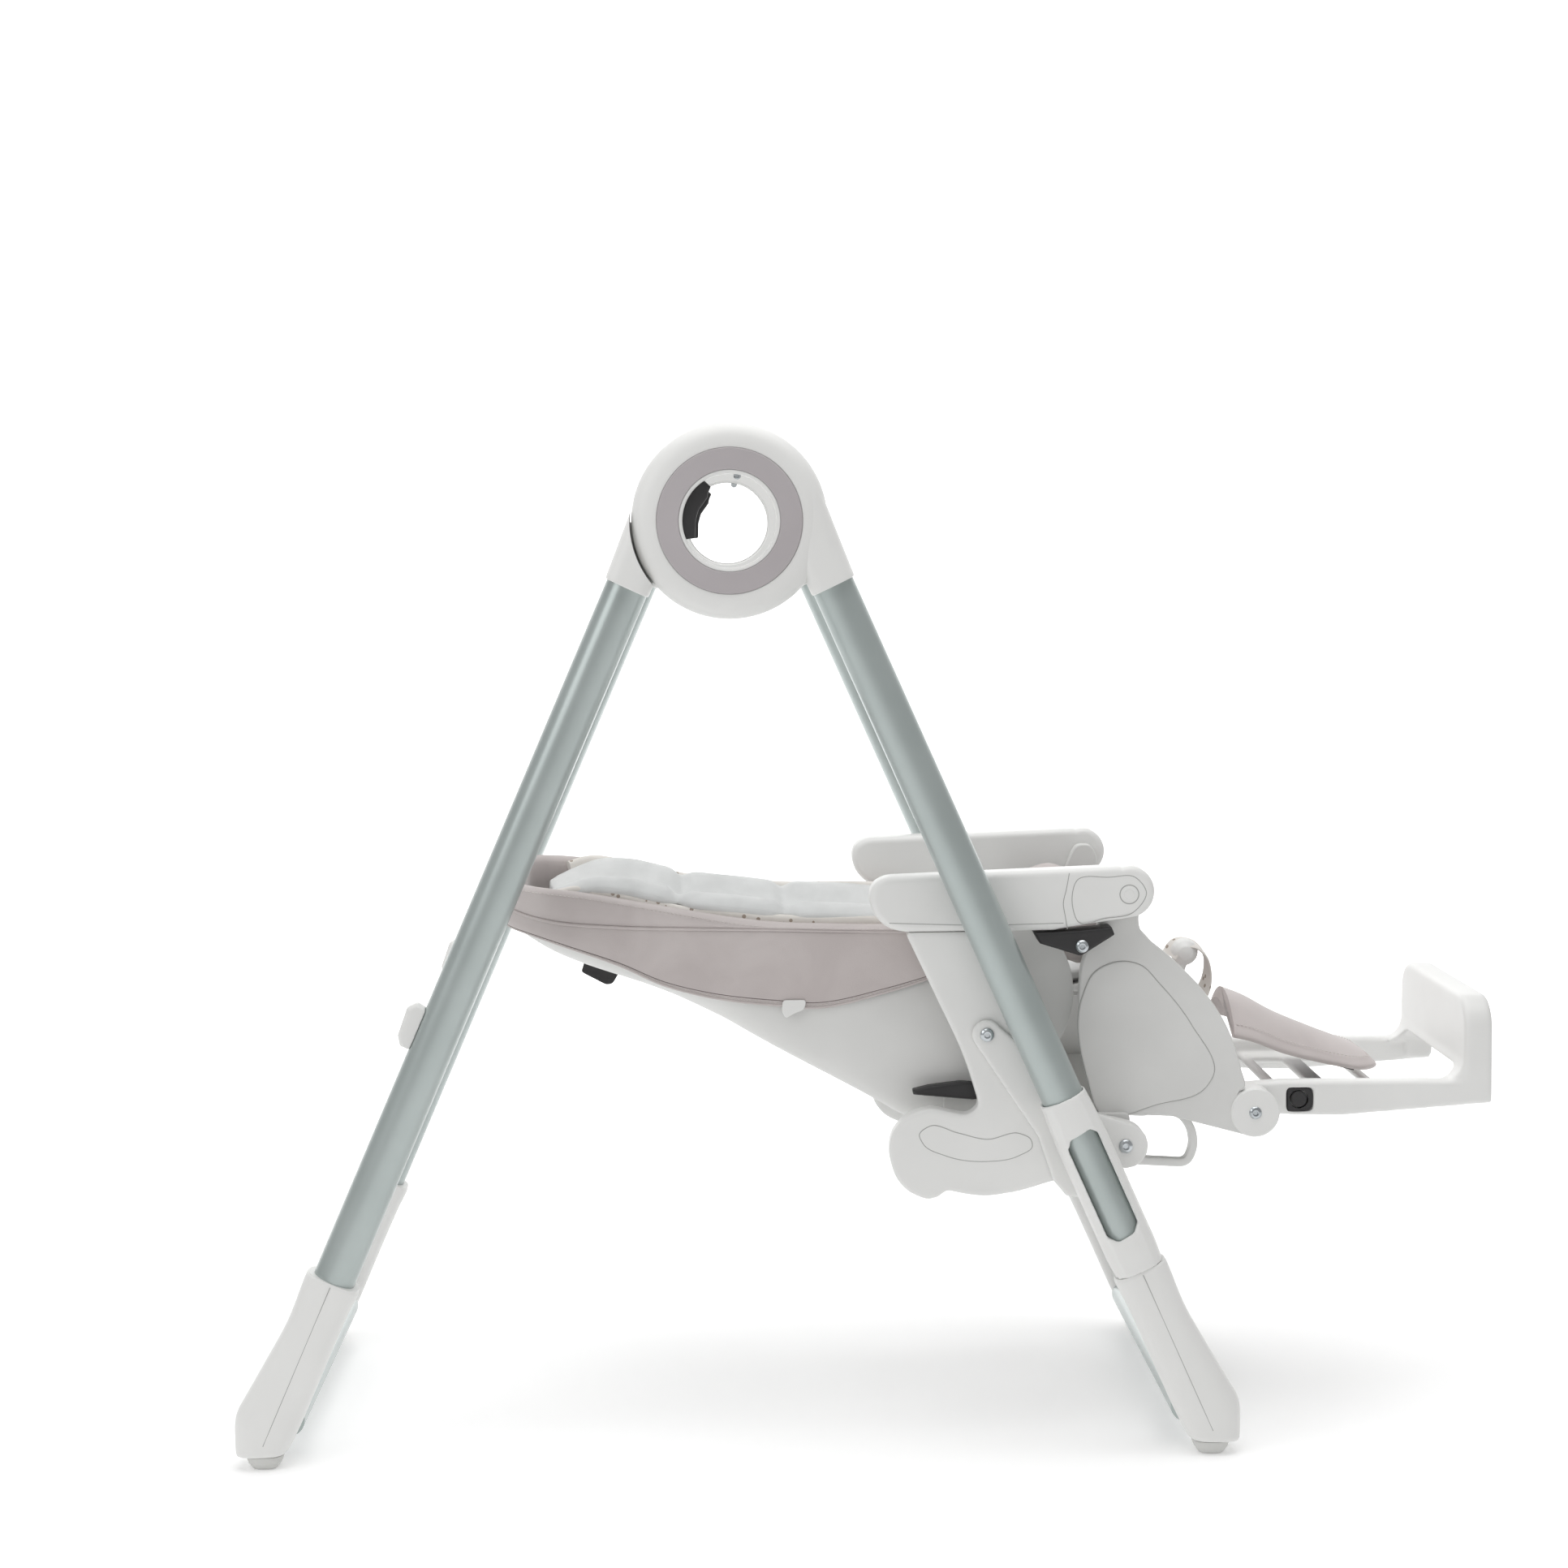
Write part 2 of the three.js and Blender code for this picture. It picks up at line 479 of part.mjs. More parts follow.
function makeSeatBase(group) {
  const right = geometryOf(join(panelSolid(), loopSolid()));
  const left = solid(mirrored(right, 1, -1));
  const knee = 3 / 7;
  const narrow = plate(strip(PAN_PATH, PAN_THICKNESS, 6, 0, 0, knee), -SHELL_INNER + 2.5, SHELL_INNER - 2.5);
  const wide = plate(strip(PAN_PATH, PAN_THICKNESS, 8, 0, knee, 1), -PANEL_INNER - 1, PANEL_INNER + 1);
  const beam = box([-50, -SUPPORT_INNER + FIT, 104], [-2, SUPPORT_INNER - FIT, 146]);
  addOne(group, "seat_base", join(solid(right), left, narrow, wide, beam), SHELL_GREY);

  const padLift = (PAN_THICKNESS + PAD_THICKNESS) / 2 + RUNNING;
  const half = SHELL_INNER - BOLSTER_WIDTH - FIT;
  addOne(group, "seat_pad", plate(strip(PAN_PATH, PAD_THICKNESS, 8, padLift, 1 / 7, 4 / 7), -half, half, 4), LINER);
  const bolster = outline([[-100, 268], [-55, 273], [-8, 284], [-8, 340], [-50, 357], [-100, 352]]);
  addPair(group, "seat_bolster", plate(bolster, -SHELL_INNER + 2.5, -half - FIT, 6), COVER);

  const bracket = outline([[-101, 334], [-56, 336], [-23, 339], [-20, 331], [-54, 310], [-95, 323]]);
  addPair(group, "arm_bracket", plate(bracket, -ARM_OUTER + 2, -PANEL_OUTER - FIT, 1.5), BLACK);

  const stem = bar([70, 0, 245.5], [81, 0, 282], 7, 0, 14);
  const knobProfile = [[0, -15], [7.5, -13], [13, -7.5], [15, 0], [13, 7.5], [7.5, 13], [0, 15]];
  const post = join(stem, turned(knobProfile, [82, 284], 18));
  const seatSkin = plate(strip(PAN_PATH, PAN_THICKNESS + 2 * FIT), -40, 40);
  addOne(group, "crotch_post", cut(post, seatSkin), WHITE);

  const lever = outline([[-222, 172], [-205, 176], [-173, 179.7], [-151, 178], [-139, 174], [-139, 163], [-161, 161],
    [-221, 167]]);
  addOne(group, "recline_lever", plate(lever, -SUPPORT_INNER + 3, -SHELL_HALF - 7, 2), BLACK);
}

// ---- Armrests, about their front pivot

function makeArmrests(group) {
  const body = outline([
    [-66, -35], [-225, -36], [-244, -31], [-256, -17], [-260, 0], [-256, 14], [-244, 20.4],
    ...arc([0, 2], 26, 90, -75, 10),
  ]);
  const button = { radius: 9, depth: 10, height: 7 };
  const recess = disc([0, 0], button.radius + FIT, -ARM_OUTER - 1, -ARM_OUTER + button.depth);
  addPair(group, "armrest", cut(plate(body, -ARM_OUTER, -ARM_INNER, 5), recess), WHITE);
  const cap = disc([0, 0], button.radius, -ARM_OUTER - FIT, -ARM_OUTER - FIT + button.height, 28);
  addPair(group, "armrest_button", cap, WHITE);
}

// ---- Backrest, about the recline pivot

const SHELL_OUTER_LINE = [[-484, 85], [-467, 57], [-452, 48], [-308, -11.5], [-211, -62], [-104, -118], [-83, -130],
  [-52, -140], [-17, -138], [16, -123]];
const HEAD_END = -484;

function makeBackrest(group) {
  const side = outline([...SHELL_OUTER_LINE, ...arc([0, 0], EAR_RADIUS, -58, 45, 12), [-102, 69], [-312, 85], [-372, 97],
    [HEAD_END, 102]]);
  const floor = [[-478, 86], [-462, 62], [-449, 54.5], [-305, -5], [-208, -55.5], [-101, -111.5], [-81, -123],
    [-52, -133], [-19, -131], [12, -117], [30, -103]];
  const hollow = outline([[HEAD_END + SHELL_WALL, 400], ...floor, [400, -103], [400, 400]]);
  const outerPlan = slab(roundedPlan(HEAD_END, 200, SHELL_HALF, 60), -300, 300);
  const innerPlan = slab(roundedPlan(HEAD_END + SHELL_WALL, 500, SHELL_INNER, 54), -300, 500);
  const body = plate(side, -SHELL_HALF, SHELL_HALF, 10).intersect(outerPlan);
  const rib = plate(outline([[-450, 52], [-414, 23], [-411, 40]]), -55, 55);
  const inside = plate(hollow, -SHELL_INNER, SHELL_INNER).intersect(innerPlan);
  addOne(group, "backrest_shell", join(cut(body, inside), rib), SHELL_GREY);

  const handle = outline([[-406.5, 27.2], [-369, 12], [-376, 1.5], [-404, 13.5]]);
  addOne(group, "recline_grip", plate(handle, -45, 45, 1.5), BLACK);

  const half = SHELL_INNER - BOLSTER_WIDTH - FIT;
  addOne(group, "backrest_pad", plate(outline([[-440, 76], [-30, 32], [-30, 10], [-440, 56]]), -half, half, 5), LINER);
  const bolster = outline([[-440, 57], [-30, -5], [-30, 69], [-102, 76], [-312, 93], [-372, 110], [-440, 115]]);
  const corner = slab(roundedPlan(HEAD_END + SHELL_WALL + FIT, 500, SHELL_INNER - FIT, 53), -300, 500);
  const roll = plate(bolster, -SHELL_INNER + FIT, -half - FIT, 6).intersect(corner);
  addPair(group, "backrest_bolster", roll, COVER);

  const skirt = outline([[-500, 67], [-462, 66], [-406, 47.5], [-367, 33], [-324, 12.6], [-282, 1], [-203, -10],
    [-174, -12.5], [-100, 2], [-40, 20], [-40, 66], [-102, 68], [-312, 84], [-372, 96], [-500, 101]]);
  const skin = (gap) => slab(roundedPlan(HEAD_END - gap, 200, SHELL_HALF + gap, 60 + gap), -300, 300);
  const wrap = plate(skirt, -SHELL_HALF - 8, SHELL_HALF + 8).intersect(skin(COVER_THICKNESS + FIT));
  addOne(group, "seat_cover", cut(wrap, skin(FIT)), COVER);
}

// ---- Leg rest, about its hinge

// A shape drawn in Y and Z, carried along X from x0.
function alongX(shape, x0, depth, options) {
  const geometry = new THREE.ExtrudeGeometry(shape, { depth, ...options });
  geometry.rotateX(Math.PI / 2);
  geometry.rotateZ(Math.PI / 2);
  geometry.translate(x0, 0, 0);
  return geometry;
}

function makeLegRest(group) {
  const armLine = outline([...arc([0, 0], HINGE_RADIUS - 1, 80, 290, 12), [29, -9], [93, -11], [251, 0], [251, 24],
    [206, 24], [36, 26]]);
  const arm = geometryOf(plate(armLine, -CALF_HALF, -CALF_HALF + CALF_ARM, 3));
  const recess = box([38, -CALF_HALF - 1, -6], [66, -CALF_HALF + 9, 19]);
  const right = cut(solid(arm), recess);
  const twin = solid(mirrored(geometryOf(right), 1, -1));
  const corner = 34;
  const top = 109;
  const footShape = new THREE.Shape();
  footShape.moveTo(-CALF_HALF, 2);
  footShape.lineTo(-CALF_HALF, top - corner);
  footShape.absarc(-CALF_HALF + corner, top - corner, corner, Math.PI, Math.PI / 2, true);
  footShape.absarc(CALF_HALF - corner, top - corner, corner, Math.PI / 2, 0, true);
  footShape.lineTo(CALF_HALF, 2);
  const foot = solid(alongX(footShape, 226, 21, { bevelEnabled: true, bevelSize: 4, bevelThickness: 4,
    bevelOffset: -4, bevelSegments: 2, curveSegments: 8 }));
  const archHalf = CALF_HALF - CALF_ARM - 6;
  const archShape = new THREE.Shape();
  archShape.moveTo(-archHalf, -6);
  archShape.lineTo(-archHalf, 20);
  archShape.absarc(-archHalf + 14, 20, 14, Math.PI, Math.PI / 2, true);
  archShape.absarc(archHalf - 14, 20, 14, Math.PI / 2, 0, true);
  archShape.lineTo(archHalf, -6);
  const arch = solid(alongX(archShape, 190, 70, { bevelEnabled: false, curveSegments: 6 }));
  const inside = CALF_HALF - CALF_ARM + 2;
  const fillet = outline([[198, 20], [212, 26], [219, 34], [226, 56], [230, 20]]);
  const windows = [[46, 78], [98, 138]].map(([x0, x1]) => box([x0, 30 - inside, 0], [x1, inside - 30, 12]));
  const board = cut(box([34, -inside, 2], [150, inside, 9]), ...windows);
  const raised = cut(join(foot, plate(fillet, -CALF_HALF + 3, CALF_HALF - 3)), arch);
  const frame = join(right, twin, raised, board);
  addOne(group, "leg_rest", frame, WHITE);

  addPair(group, "leg_rest_button", disc([51, 7], 9, -CALF_HALF + 1, -CALF_HALF + 7, 24), BLACK);
  const calf = strip([[8, 89], [47, 71], [92, 51], [144, 30]], 8, 12);
  addOne(group, "calf_pad", plate(calf, -82, 82, 2), COVER);
}

// ---- Assembly

/** A group at [x, z] of its parent. */
function placed(parent, [x, z] = [0, 0]) {
  const group = new THREE.Group();
  group.position.set(x, 0, z);
  parent.add(group);
  return group;
}

const swing = new THREE.Group();
const hubLevel = placed(swing, [0, HUB_HEIGHT]);
const seat = placed(swing, [FOOT_X, FOOT_TOP]);
makeHubs({ front: hubLevel, rear: hubLevel });
makeLegs({ top: hubLevel, low: seat, facing: 1 }, "front");
makeLegs({ top: hubLevel, low: placed(swing, [-FOOT_X, FOOT_TOP]), facing: -1 }, "rear");
makePegs(hubLevel);
makeCarriages(seat);
makeSupports(seat);
makeSeatBase(seat);
makeArmrests(placed(seat, ARM_PIVOT));
makeBackrest(placed(seat, RECLINE_PIVOT));
makeLegRest(placed(seat, CALF_HINGE));

// The origin is on the floor, under the middle of the whole length.
swing.updateMatrixWorld(true);
const extent = new THREE.Box3().setFromObject(swing);
swing.position.x = -(extent.min.x + extent.max.x) / 2;

export default swing;
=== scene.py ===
"""Looks of a folding baby swing and high chair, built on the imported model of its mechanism.

Lengths are in millimetres in the size fields and shapes, and in metres in the meshes. X runs from the head
end to the foot end of the seat, Y to the seated child's left, and Z up from the floor.
"""

import json
import logging
import math
from collections.abc import Callable, Sequence
from dataclasses import dataclass, field
from enum import Enum

import bmesh
import bpy
import numpy as np
from mathutils import Matrix, Vector


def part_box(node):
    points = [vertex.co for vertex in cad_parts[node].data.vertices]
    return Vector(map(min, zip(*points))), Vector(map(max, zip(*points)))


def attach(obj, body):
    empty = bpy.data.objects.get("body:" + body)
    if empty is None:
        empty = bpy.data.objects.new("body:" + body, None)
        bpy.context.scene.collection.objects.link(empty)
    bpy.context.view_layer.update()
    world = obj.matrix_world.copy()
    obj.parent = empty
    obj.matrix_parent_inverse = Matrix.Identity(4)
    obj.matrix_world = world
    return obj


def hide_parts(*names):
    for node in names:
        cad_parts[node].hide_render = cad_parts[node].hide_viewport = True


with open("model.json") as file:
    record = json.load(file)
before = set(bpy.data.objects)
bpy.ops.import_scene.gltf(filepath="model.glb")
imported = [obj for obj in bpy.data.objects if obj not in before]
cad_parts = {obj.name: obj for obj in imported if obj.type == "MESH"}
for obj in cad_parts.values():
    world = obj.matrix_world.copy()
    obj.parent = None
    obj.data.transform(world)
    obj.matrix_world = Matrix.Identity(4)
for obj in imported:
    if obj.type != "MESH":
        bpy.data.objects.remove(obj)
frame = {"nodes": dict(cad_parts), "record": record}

LOG = logging.getLogger("baby_swing")
MM = 0.001
ACROSS = (0.0, 1.0, 0.0)
UP = (0.0, 0.0, 1.0)
AXIS = 0.01  # the smallest radius of a turned profile, so that its middle closes on one small face
CREASE, CUT_CREASE, SOFT_CREASE = 35.0, 32.0, 60.0  # degrees past which an edge stays sharp
STUFFING_MASS, STUFFING_SHRINK, STUFFING_FRAMES = 0.25, -0.06, 20
Points = Sequence[Sequence[float]] | np.ndarray
Line = tuple[tuple[float, float], ...]


class Side(Enum):
    """The two sides of the object: right is low Y, left is high Y."""

    RIGHT = -1
    LEFT = 1

    @property
    def tag(self) -> str:
        """The word that ends this side's piece and node names."""
        return self.name.lower()

    def levels(self, *distances: float) -> list[float]:
        """Distances from the middle plane as Y on this side."""
        return [self.value * distance for distance in distances]

    def profile(self, points: Points) -> np.ndarray:
        """A profile of radius and distance from the middle plane, put on this side."""
        return np.asarray(points, float) * (1.0, self.value)


# ---- Curves and surfaces


def smooth_curve(points: Points, count: int, closed: bool = False) -> np.ndarray:
    """A smooth curve through points: cubic pieces, whose slopes are weighted means of the chords beside them.

    Args:
        points: the points to pass through, of two or three coordinates.
        count: how many points to return, evenly spread along the chords.
        closed: whether the last point joins the first.

    Returns:
        An array of count points.
    """
    base = np.asarray(points, float)
    ring = np.vstack([base[-2:], base, base[:3]]) if closed else base
    chords = np.diff(ring, axis=0)
    steps = np.linalg.norm(chords, axis=1)
    knots = np.concatenate([[0.0], np.cumsum(steps)])
    secants = chords / steps[:, None]
    wide = (steps[1:] + steps[:-1])[:, None]
    inner = (secants[:-1] * steps[1:, None] + secants[1:] * steps[:-1, None]) / wide
    slopes = np.vstack([secants[:1], inner, secants[-1:]])
    start, end = (knots[2], knots[2 + len(base)]) if closed else (0.0, knots[-1])
    at = np.linspace(start, end, count, endpoint=not closed)
    index = np.clip(np.searchsorted(knots, at, side="right") - 1, 0, len(steps) - 1)
    span = steps[index][:, None]
    t = (at - knots[index])[:, None] / span
    low = ring[index] * (2 * t**3 - 3 * t**2 + 1) + slopes[index] * span * (t**3 - 2 * t**2 + t)
    high = ring[index + 1] * (3 * t**2 - 2 * t**3) + slopes[index + 1] * span * (t**3 - t**2)
    return low + high


def spread(points: Points, count: int) -> np.ndarray:
    """Points evenly spaced along a polyline, by interpolation over its running length.

    Args:
        points: the polyline.
        count: how many points to return.

    Returns:
        An array of count points.
    """
    line = np.asarray(points, float)
    run = np.concatenate([[0.0], np.cumsum(np.linalg.norm(np.diff(line, axis=0), axis=1))])
    at = np.linspace(0.0, run[-1], count)
    return np.stack([np.interp(at, run, column) for column in line.T], axis=1)


def filleted(points: Points, radius: float | Sequence[float], steps: int = 7) -> np.ndarray:
    """A polygon with rounded corners: each corner is a parabola between points set back along its two edges.

    Args:
        points: the polygon's corners.
        radius: the set-back, for all corners or one for each.
        steps: points on each rounded corner.

    Returns:
        The outline's points.
    """
    corner = np.asarray(points, float)
    back, ahead = np.roll(corner, 1, axis=0) - corner, np.roll(corner, -1, axis=0) - corner
    reach_back, reach_ahead = np.linalg.norm(back, axis=1), np.linalg.norm(ahead, axis=1)
    cut = np.minimum(np.broadcast_to(radius, len(corner)), 0.46 * np.minimum(reach_back, reach_ahead))
    start = corner + back * (cut / reach_back)[:, None]
    end = corner + ahead * (cut / reach_ahead)[:, None]
    t = np.linspace(0.0, 1.0, steps)[None, :, None]
    curve = (1 - t) ** 2 * start[:, None] + 2 * t * (1 - t) * corner[:, None] + t**2 * end[:, None]
    return curve.reshape(-1, 2)


def arc(centre: Sequence[float], radius: float, first: float, last: float, count: int) -> np.ndarray:
    """Points on a circle's arc, its angles spread evenly in degrees.

    Args:
        centre: the circle's middle.
        radius: its radius.
        first: the first point's angle.
        last: the last point's angle.
        count: how many points.

    Returns:
        An array of count points.
    """
    angle = np.radians(np.linspace(first, last, count))
    return np.stack([centre[0] + radius * np.cos(angle), centre[1] + radius * np.sin(angle)], axis=1)


def grid_faces(rows: int, columns: int, wrap_rows: bool, wrap_columns: bool) -> np.ndarray:
    """The four-cornered faces of a grid of points stored row by row.

    Args:
        rows: number of rows.
        columns: number of columns.
        wrap_rows: whether the last row joins the first.
        wrap_columns: whether the last column joins the first.

    Returns:
        An array of faces, each of four point numbers.
    """
    row = np.arange(rows if wrap_rows else rows - 1)[:, None]
    column = np.arange(columns if wrap_columns else columns - 1)[None, :]
    next_row, next_column = (row + 1) % rows, (column + 1) % columns
    corners = [row * columns + column, row * columns + next_column]
    corners += [next_row * columns + next_column, next_row * columns + column]
    return np.stack(np.broadcast_arrays(*corners), axis=-1).reshape(-1, 4)


def in_scene(name: str, data: bpy.types.ID) -> bpy.types.Object:
    """A new object for a mesh, camera or light, linked to the scene."""
    made = bpy.data.objects.new(name, data)
    bpy.context.scene.collection.objects.link(made)
    return made


def shade(mesh: bpy.types.Mesh, crease: float) -> None:
    """Shades a mesh smoothly, with edges sharp past the crease angle in degrees."""
    mesh.shade_smooth()
    mesh.set_sharp_from_angle(angle=math.radians(crease))


def vectors(items: bpy.types.bpy_prop_collection, label: str) -> np.ndarray:
    """A vector property of each vertex or face, as an array of rows."""
    values = np.empty(len(items) * 3)
    items.foreach_get(label, values)
    return values.reshape(-1, 3)


def at_y(flat: np.ndarray, y: float | np.ndarray = 0.0) -> np.ndarray:
    """X and Z points put at a Y, one for all of them or one for each."""
    return np.stack([flat[:, 0], np.broadcast_to(y, len(flat)), flat[:, 1]], axis=1)


def make_object(name: str, points: np.ndarray, faces: list, crease: float = CREASE,
                closed: bool = True) -> bpy.types.Object:
    """A smooth-shaded object from points and faces, with doubles merged and faces turned outwards.

    Args:
        name: the object's name.
        points: the points, in millimetres.
        faces: the faces, each a list of point numbers.
        crease: angle in degrees past which an edge stays sharp.
        closed: whether the skin is closed, so that its faces can be turned outwards.

    Returns:
        The new object, at the origin.
    """
    mesh = bpy.data.meshes.new(name)
    mesh.from_pydata((np.asarray(points, float).reshape(-1, 3) * MM).tolist(), [], faces)
    work = bmesh.new()
    work.from_mesh(mesh)
    bmesh.ops.remove_doubles(work, verts=work.verts, dist=1e-6)
    if closed:
        bmesh.ops.recalc_face_normals(work, faces=work.faces)
    work.to_mesh(mesh)
    work.free()
    shade(mesh, crease)
    return in_scene(name, mesh)


def sheet(name: str, rows: np.ndarray, crease: float = SOFT_CREASE) -> bpy.types.Object:
    """An open surface over rows of points, each joined to the next.

    Args:
        name: the object's name.
        rows: points in millimetres, as row by column by coordinate.
        crease: angle past which an edge stays sharp.

    Returns:
        The new object.
    """
    return make_object(name, rows, grid_faces(*rows.shape[:2], False, False).tolist(), crease, closed=False)


def thickened(piece: bpy.types.Object, thickness: float, offset: float = 0.0) -> bpy.types.Object:
    """Gives an open sheet its thickness.

    Args:
        piece: the sheet.
        thickness: in millimetres.
        offset: 0 to share it between both faces, 1 or -1 to put it all on one.

    Returns:
        The same piece.
    """
    wall = piece.modifiers.new("wall", "SOLIDIFY")
    wall.thickness, wall.offset = thickness * MM, offset
    return piece


def skin(name: str, rings: np.ndarray, wrap_rows: bool = False, caps: bool = True,
         crease: float = CREASE) -> bpy.types.Object:
    """An object over rings of points: neighbours are joined round and along, and both ends are closed flat.

    Args:
        name: the object's name.
        rings: points in millimetres, as ring by point by coordinate.
        wrap_rows: whether the last ring joins the first.
        caps: whether the first and last rings are closed.
        crease: angle past which an edge stays sharp.

    Returns:
        The new object.
    """
    rows, columns, _ = rings.shape
    faces = grid_faces(rows, columns, wrap_rows, True).tolist()
    if caps and not wrap_rows:
        faces.append(list(range(columns - 1, -1, -1)))
        faces.append(list(range((rows - 1) * columns, rows * columns)))
    return make_object(name, rings, faces, crease)


def plate_rings(outline: np.ndarray, y_from: float, y_to: float, rounding: float,
                steps: int = 5) -> np.ndarray:
    """Rings of a moulded plate: an XZ outline carried along Y, drawn in by a quarter circle at both rims.

    Args:
        outline: the plate's outline as X and Z.
        y_from: one face's Y.
        y_to: the other face's Y.
        rounding: radius of the rims.
        steps: rings in each rounded rim.

    Returns:
        The rings, from the low-Y face to the high one.
    """
    low, high = min(y_from, y_to), max(y_from, y_to)
    ahead, back = np.roll(outline, -1, axis=0), np.roll(outline, 1, axis=0)
    area = np.sum(outline[:, 0] * ahead[:, 1] - ahead[:, 0] * outline[:, 1])
    along = ahead - back
    length = np.maximum(np.linalg.norm(along, axis=1), 1e-9)[:, None]
    inward = np.stack([-along[:, 1], along[:, 0]], axis=1) / length * np.sign(area)
    turn = np.radians(np.linspace(90.0, 0.0, steps + 1))
    inset = rounding * (1 - np.cos(turn))
    depth = rounding * (1 - np.sin(turn))
    insets = np.concatenate([[rounding + 0.8], inset, inset[::-1], [rounding + 0.8]])
    levels = np.concatenate([[low], low + depth, high - depth[::-1], [high]])
    flat = outline[None] + inward[None] * insets[:, None, None]
    across = np.broadcast_to(levels[:, None], flat.shape[:2])
    return np.stack([flat[..., 0], across, flat[..., 1]], axis=-1)


def plate(name: str, outline: np.ndarray, y_from: float, y_to: float, rounding: float) -> bpy.types.Object:
    """A moulded plate as an object: see plate_rings.

    Args:
        name: the object's name.
        outline: the plate's outline as X and Z.
        y_from: one face's Y.
        y_to: the other face's Y.
        rounding: radius of the rims.

    Returns:
        The new object.
    """
    return skin(name, plate_rings(outline, y_from, y_to, rounding))


def turned(name: str, profile: Points, centre: Sequence[float], count: int = 96,
           closed: bool = True) -> bpy.types.Object:
    """A body of revolution about a Y-parallel axis: each profile point goes round a circle of its radius.

    Args:
        name: the object's name.
        profile: points as radius and Y.
        centre: the axis as X and Z.
        count: points round each circle.
        closed: whether the profile joins up, as a ring's does.

    Returns:
        The new object.
    """
    radius, level = np.asarray(profile, float).T
    angle = np.linspace(0.0, 2 * np.pi, count, endpoint=False)
    x = centre[0] + radius[:, None] * np.cos(angle)
    z = centre[1] + radius[:, None] * np.sin(angle)
    rings = np.stack([x, np.broadcast_to(level[:, None], x.shape), z], axis=-1)
    return skin(name, rings, wrap_rows=closed, caps=not closed)


def frames(path: np.ndarray, up: Sequence[float]) -> tuple[np.ndarray, np.ndarray]:
    """Unit side and lift directions along a path: side is the path's direction crossed with up.

    Args:
        path: the path's points.
        up: the direction that the lift stays nearest to.

    Returns:
        The side and lift directions at each point.
    """
    along = np.gradient(path, axis=0)
    along /= np.maximum(np.linalg.norm(along, axis=1), 1e-9)[:, None]
    side = np.cross(along, np.asarray(up, float))
    side /= np.maximum(np.linalg.norm(side, axis=1), 1e-9)[:, None]
    return side, np.cross(side, along)


def swept(name: str, path: np.ndarray, section: np.ndarray, up: Sequence[float],
          closed: bool = False) -> bpy.types.Object:
    """A section carried along a path, turned so that it stays square to it.

    Args:
        name: the object's name.
        path: the path's points in millimetres.
        section: points as side and lift, one section for all of the path or one for each point.
        up: the direction that the section's lift stays nearest to.
        closed: whether the path joins up.

    Returns:
        The new object.
    """
    run = np.vstack([path[-1:], path, path[:1]]) if closed else path
    side, lift = frames(run, up)
    if closed:
        side, lift = side[1:-1], lift[1:-1]
    shape = np.broadcast_to(section, (len(path), *np.shape(section)[-2:]))
    rings = path[:, None] + side[:, None] * shape[..., :1] + lift[:, None] * shape[..., 1:]
    return skin(name, rings, wrap_rows=closed)


def oval(half_width: float | np.ndarray, half_height: float | np.ndarray, count: int = 24,
         power: float = 2.0) -> np.ndarray:
    """A superellipse: the powers of the two shares of its half sizes add to one.

    Args:
        half_width: half its width, one number or one for each section.
        half_height: half its height, likewise.
        count: points round it.
        power: 2 for an ellipse, more for a squarer one.

    Returns:
        Points as side and lift, for one section or for each.
    """
    angle = np.linspace(0.0, 2 * np.pi, count, endpoint=False)
    c, s = np.cos(angle), np.sin(angle)
    size = (np.abs(c) ** power + np.abs(s) ** power) ** (-1.0 / power)
    wide = np.asarray(half_width, float)[..., None] * c * size
    high = np.asarray(half_height, float)[..., None] * s * size
    return np.stack([wide, high], axis=-1)


def tube(name: str, start: Sequence[float], end: Sequence[float], radius: float) -> bpy.types.Object:
    """A straight round tube between two points, closed at both ends.

    Args:
        name: the object's name.
        start: one end in millimetres.
        end: the other end.
        radius: the tube's radius.

    Returns:
        The new object.
    """
    path = np.linspace(start, end, 12)
    up = ACROSS if abs(end[1] - start[1]) < 1.0 else UP
    return swept(name, path, oval(radius, radius, 64), up)


def roll(path: np.ndarray, wide: np.ndarray, high: np.ndarray, power: float = 2.4,
         sides: int = 36) -> np.ndarray:
    """Rings of a stuffed roll: ovals square to a path in an upright plane, shrinking to round ends.

    Args:
        path: the middle line's points.
        wide: half width across, at each point.
        high: half height, at each point.
        power: how square the ovals are.
        sides: points round each oval.

    Returns:
        The rings.
    """
    share = np.linspace(-1.0, 1.0, len(path))
    ends = np.maximum(1.0 - np.abs(share) ** 10, 0.0) ** 0.5 + 1e-3
    along = np.gradient(path, axis=0)
    along /= np.linalg.norm(along, axis=1)[:, None]
    across = np.array(ACROSS)
    lift = np.cross(along, across)
    shape = oval(np.asarray(wide) * ends, np.asarray(high) * ends, sides, power)
    return path[:, None] + across * shape[..., :1] + lift[:, None] * shape[..., 1:]


def crosswise(run: np.ndarray, section: np.ndarray) -> np.ndarray:
    """Rings along a path in an upright plane: a section's width lies along Y, and its height off the path.

    Args:
        run: the path's points.
        section: points as width and height, one section for all of the path or one for each point.

    Returns:
        The rings.
    """
    side, _ = frames(run, ACROSS)
    return run[:, None] + np.array(ACROSS) * section[..., :1] + side[:, None] * section[..., 1:]


def blended_rows(controls: np.ndarray, count: int) -> np.ndarray:
    """Rows of a smooth surface through control rows, by smooth_curve over each column at once.

    Args:
        controls: points as control row by column by coordinate.
        count: rows to return.

    Returns:
        Points as row by column by coordinate.
    """
    weights = smooth_curve(np.eye(len(controls)), count)
    return np.einsum("rc,cpk->rpk", weights, controls)


# ---- Node groups shared by the finishes


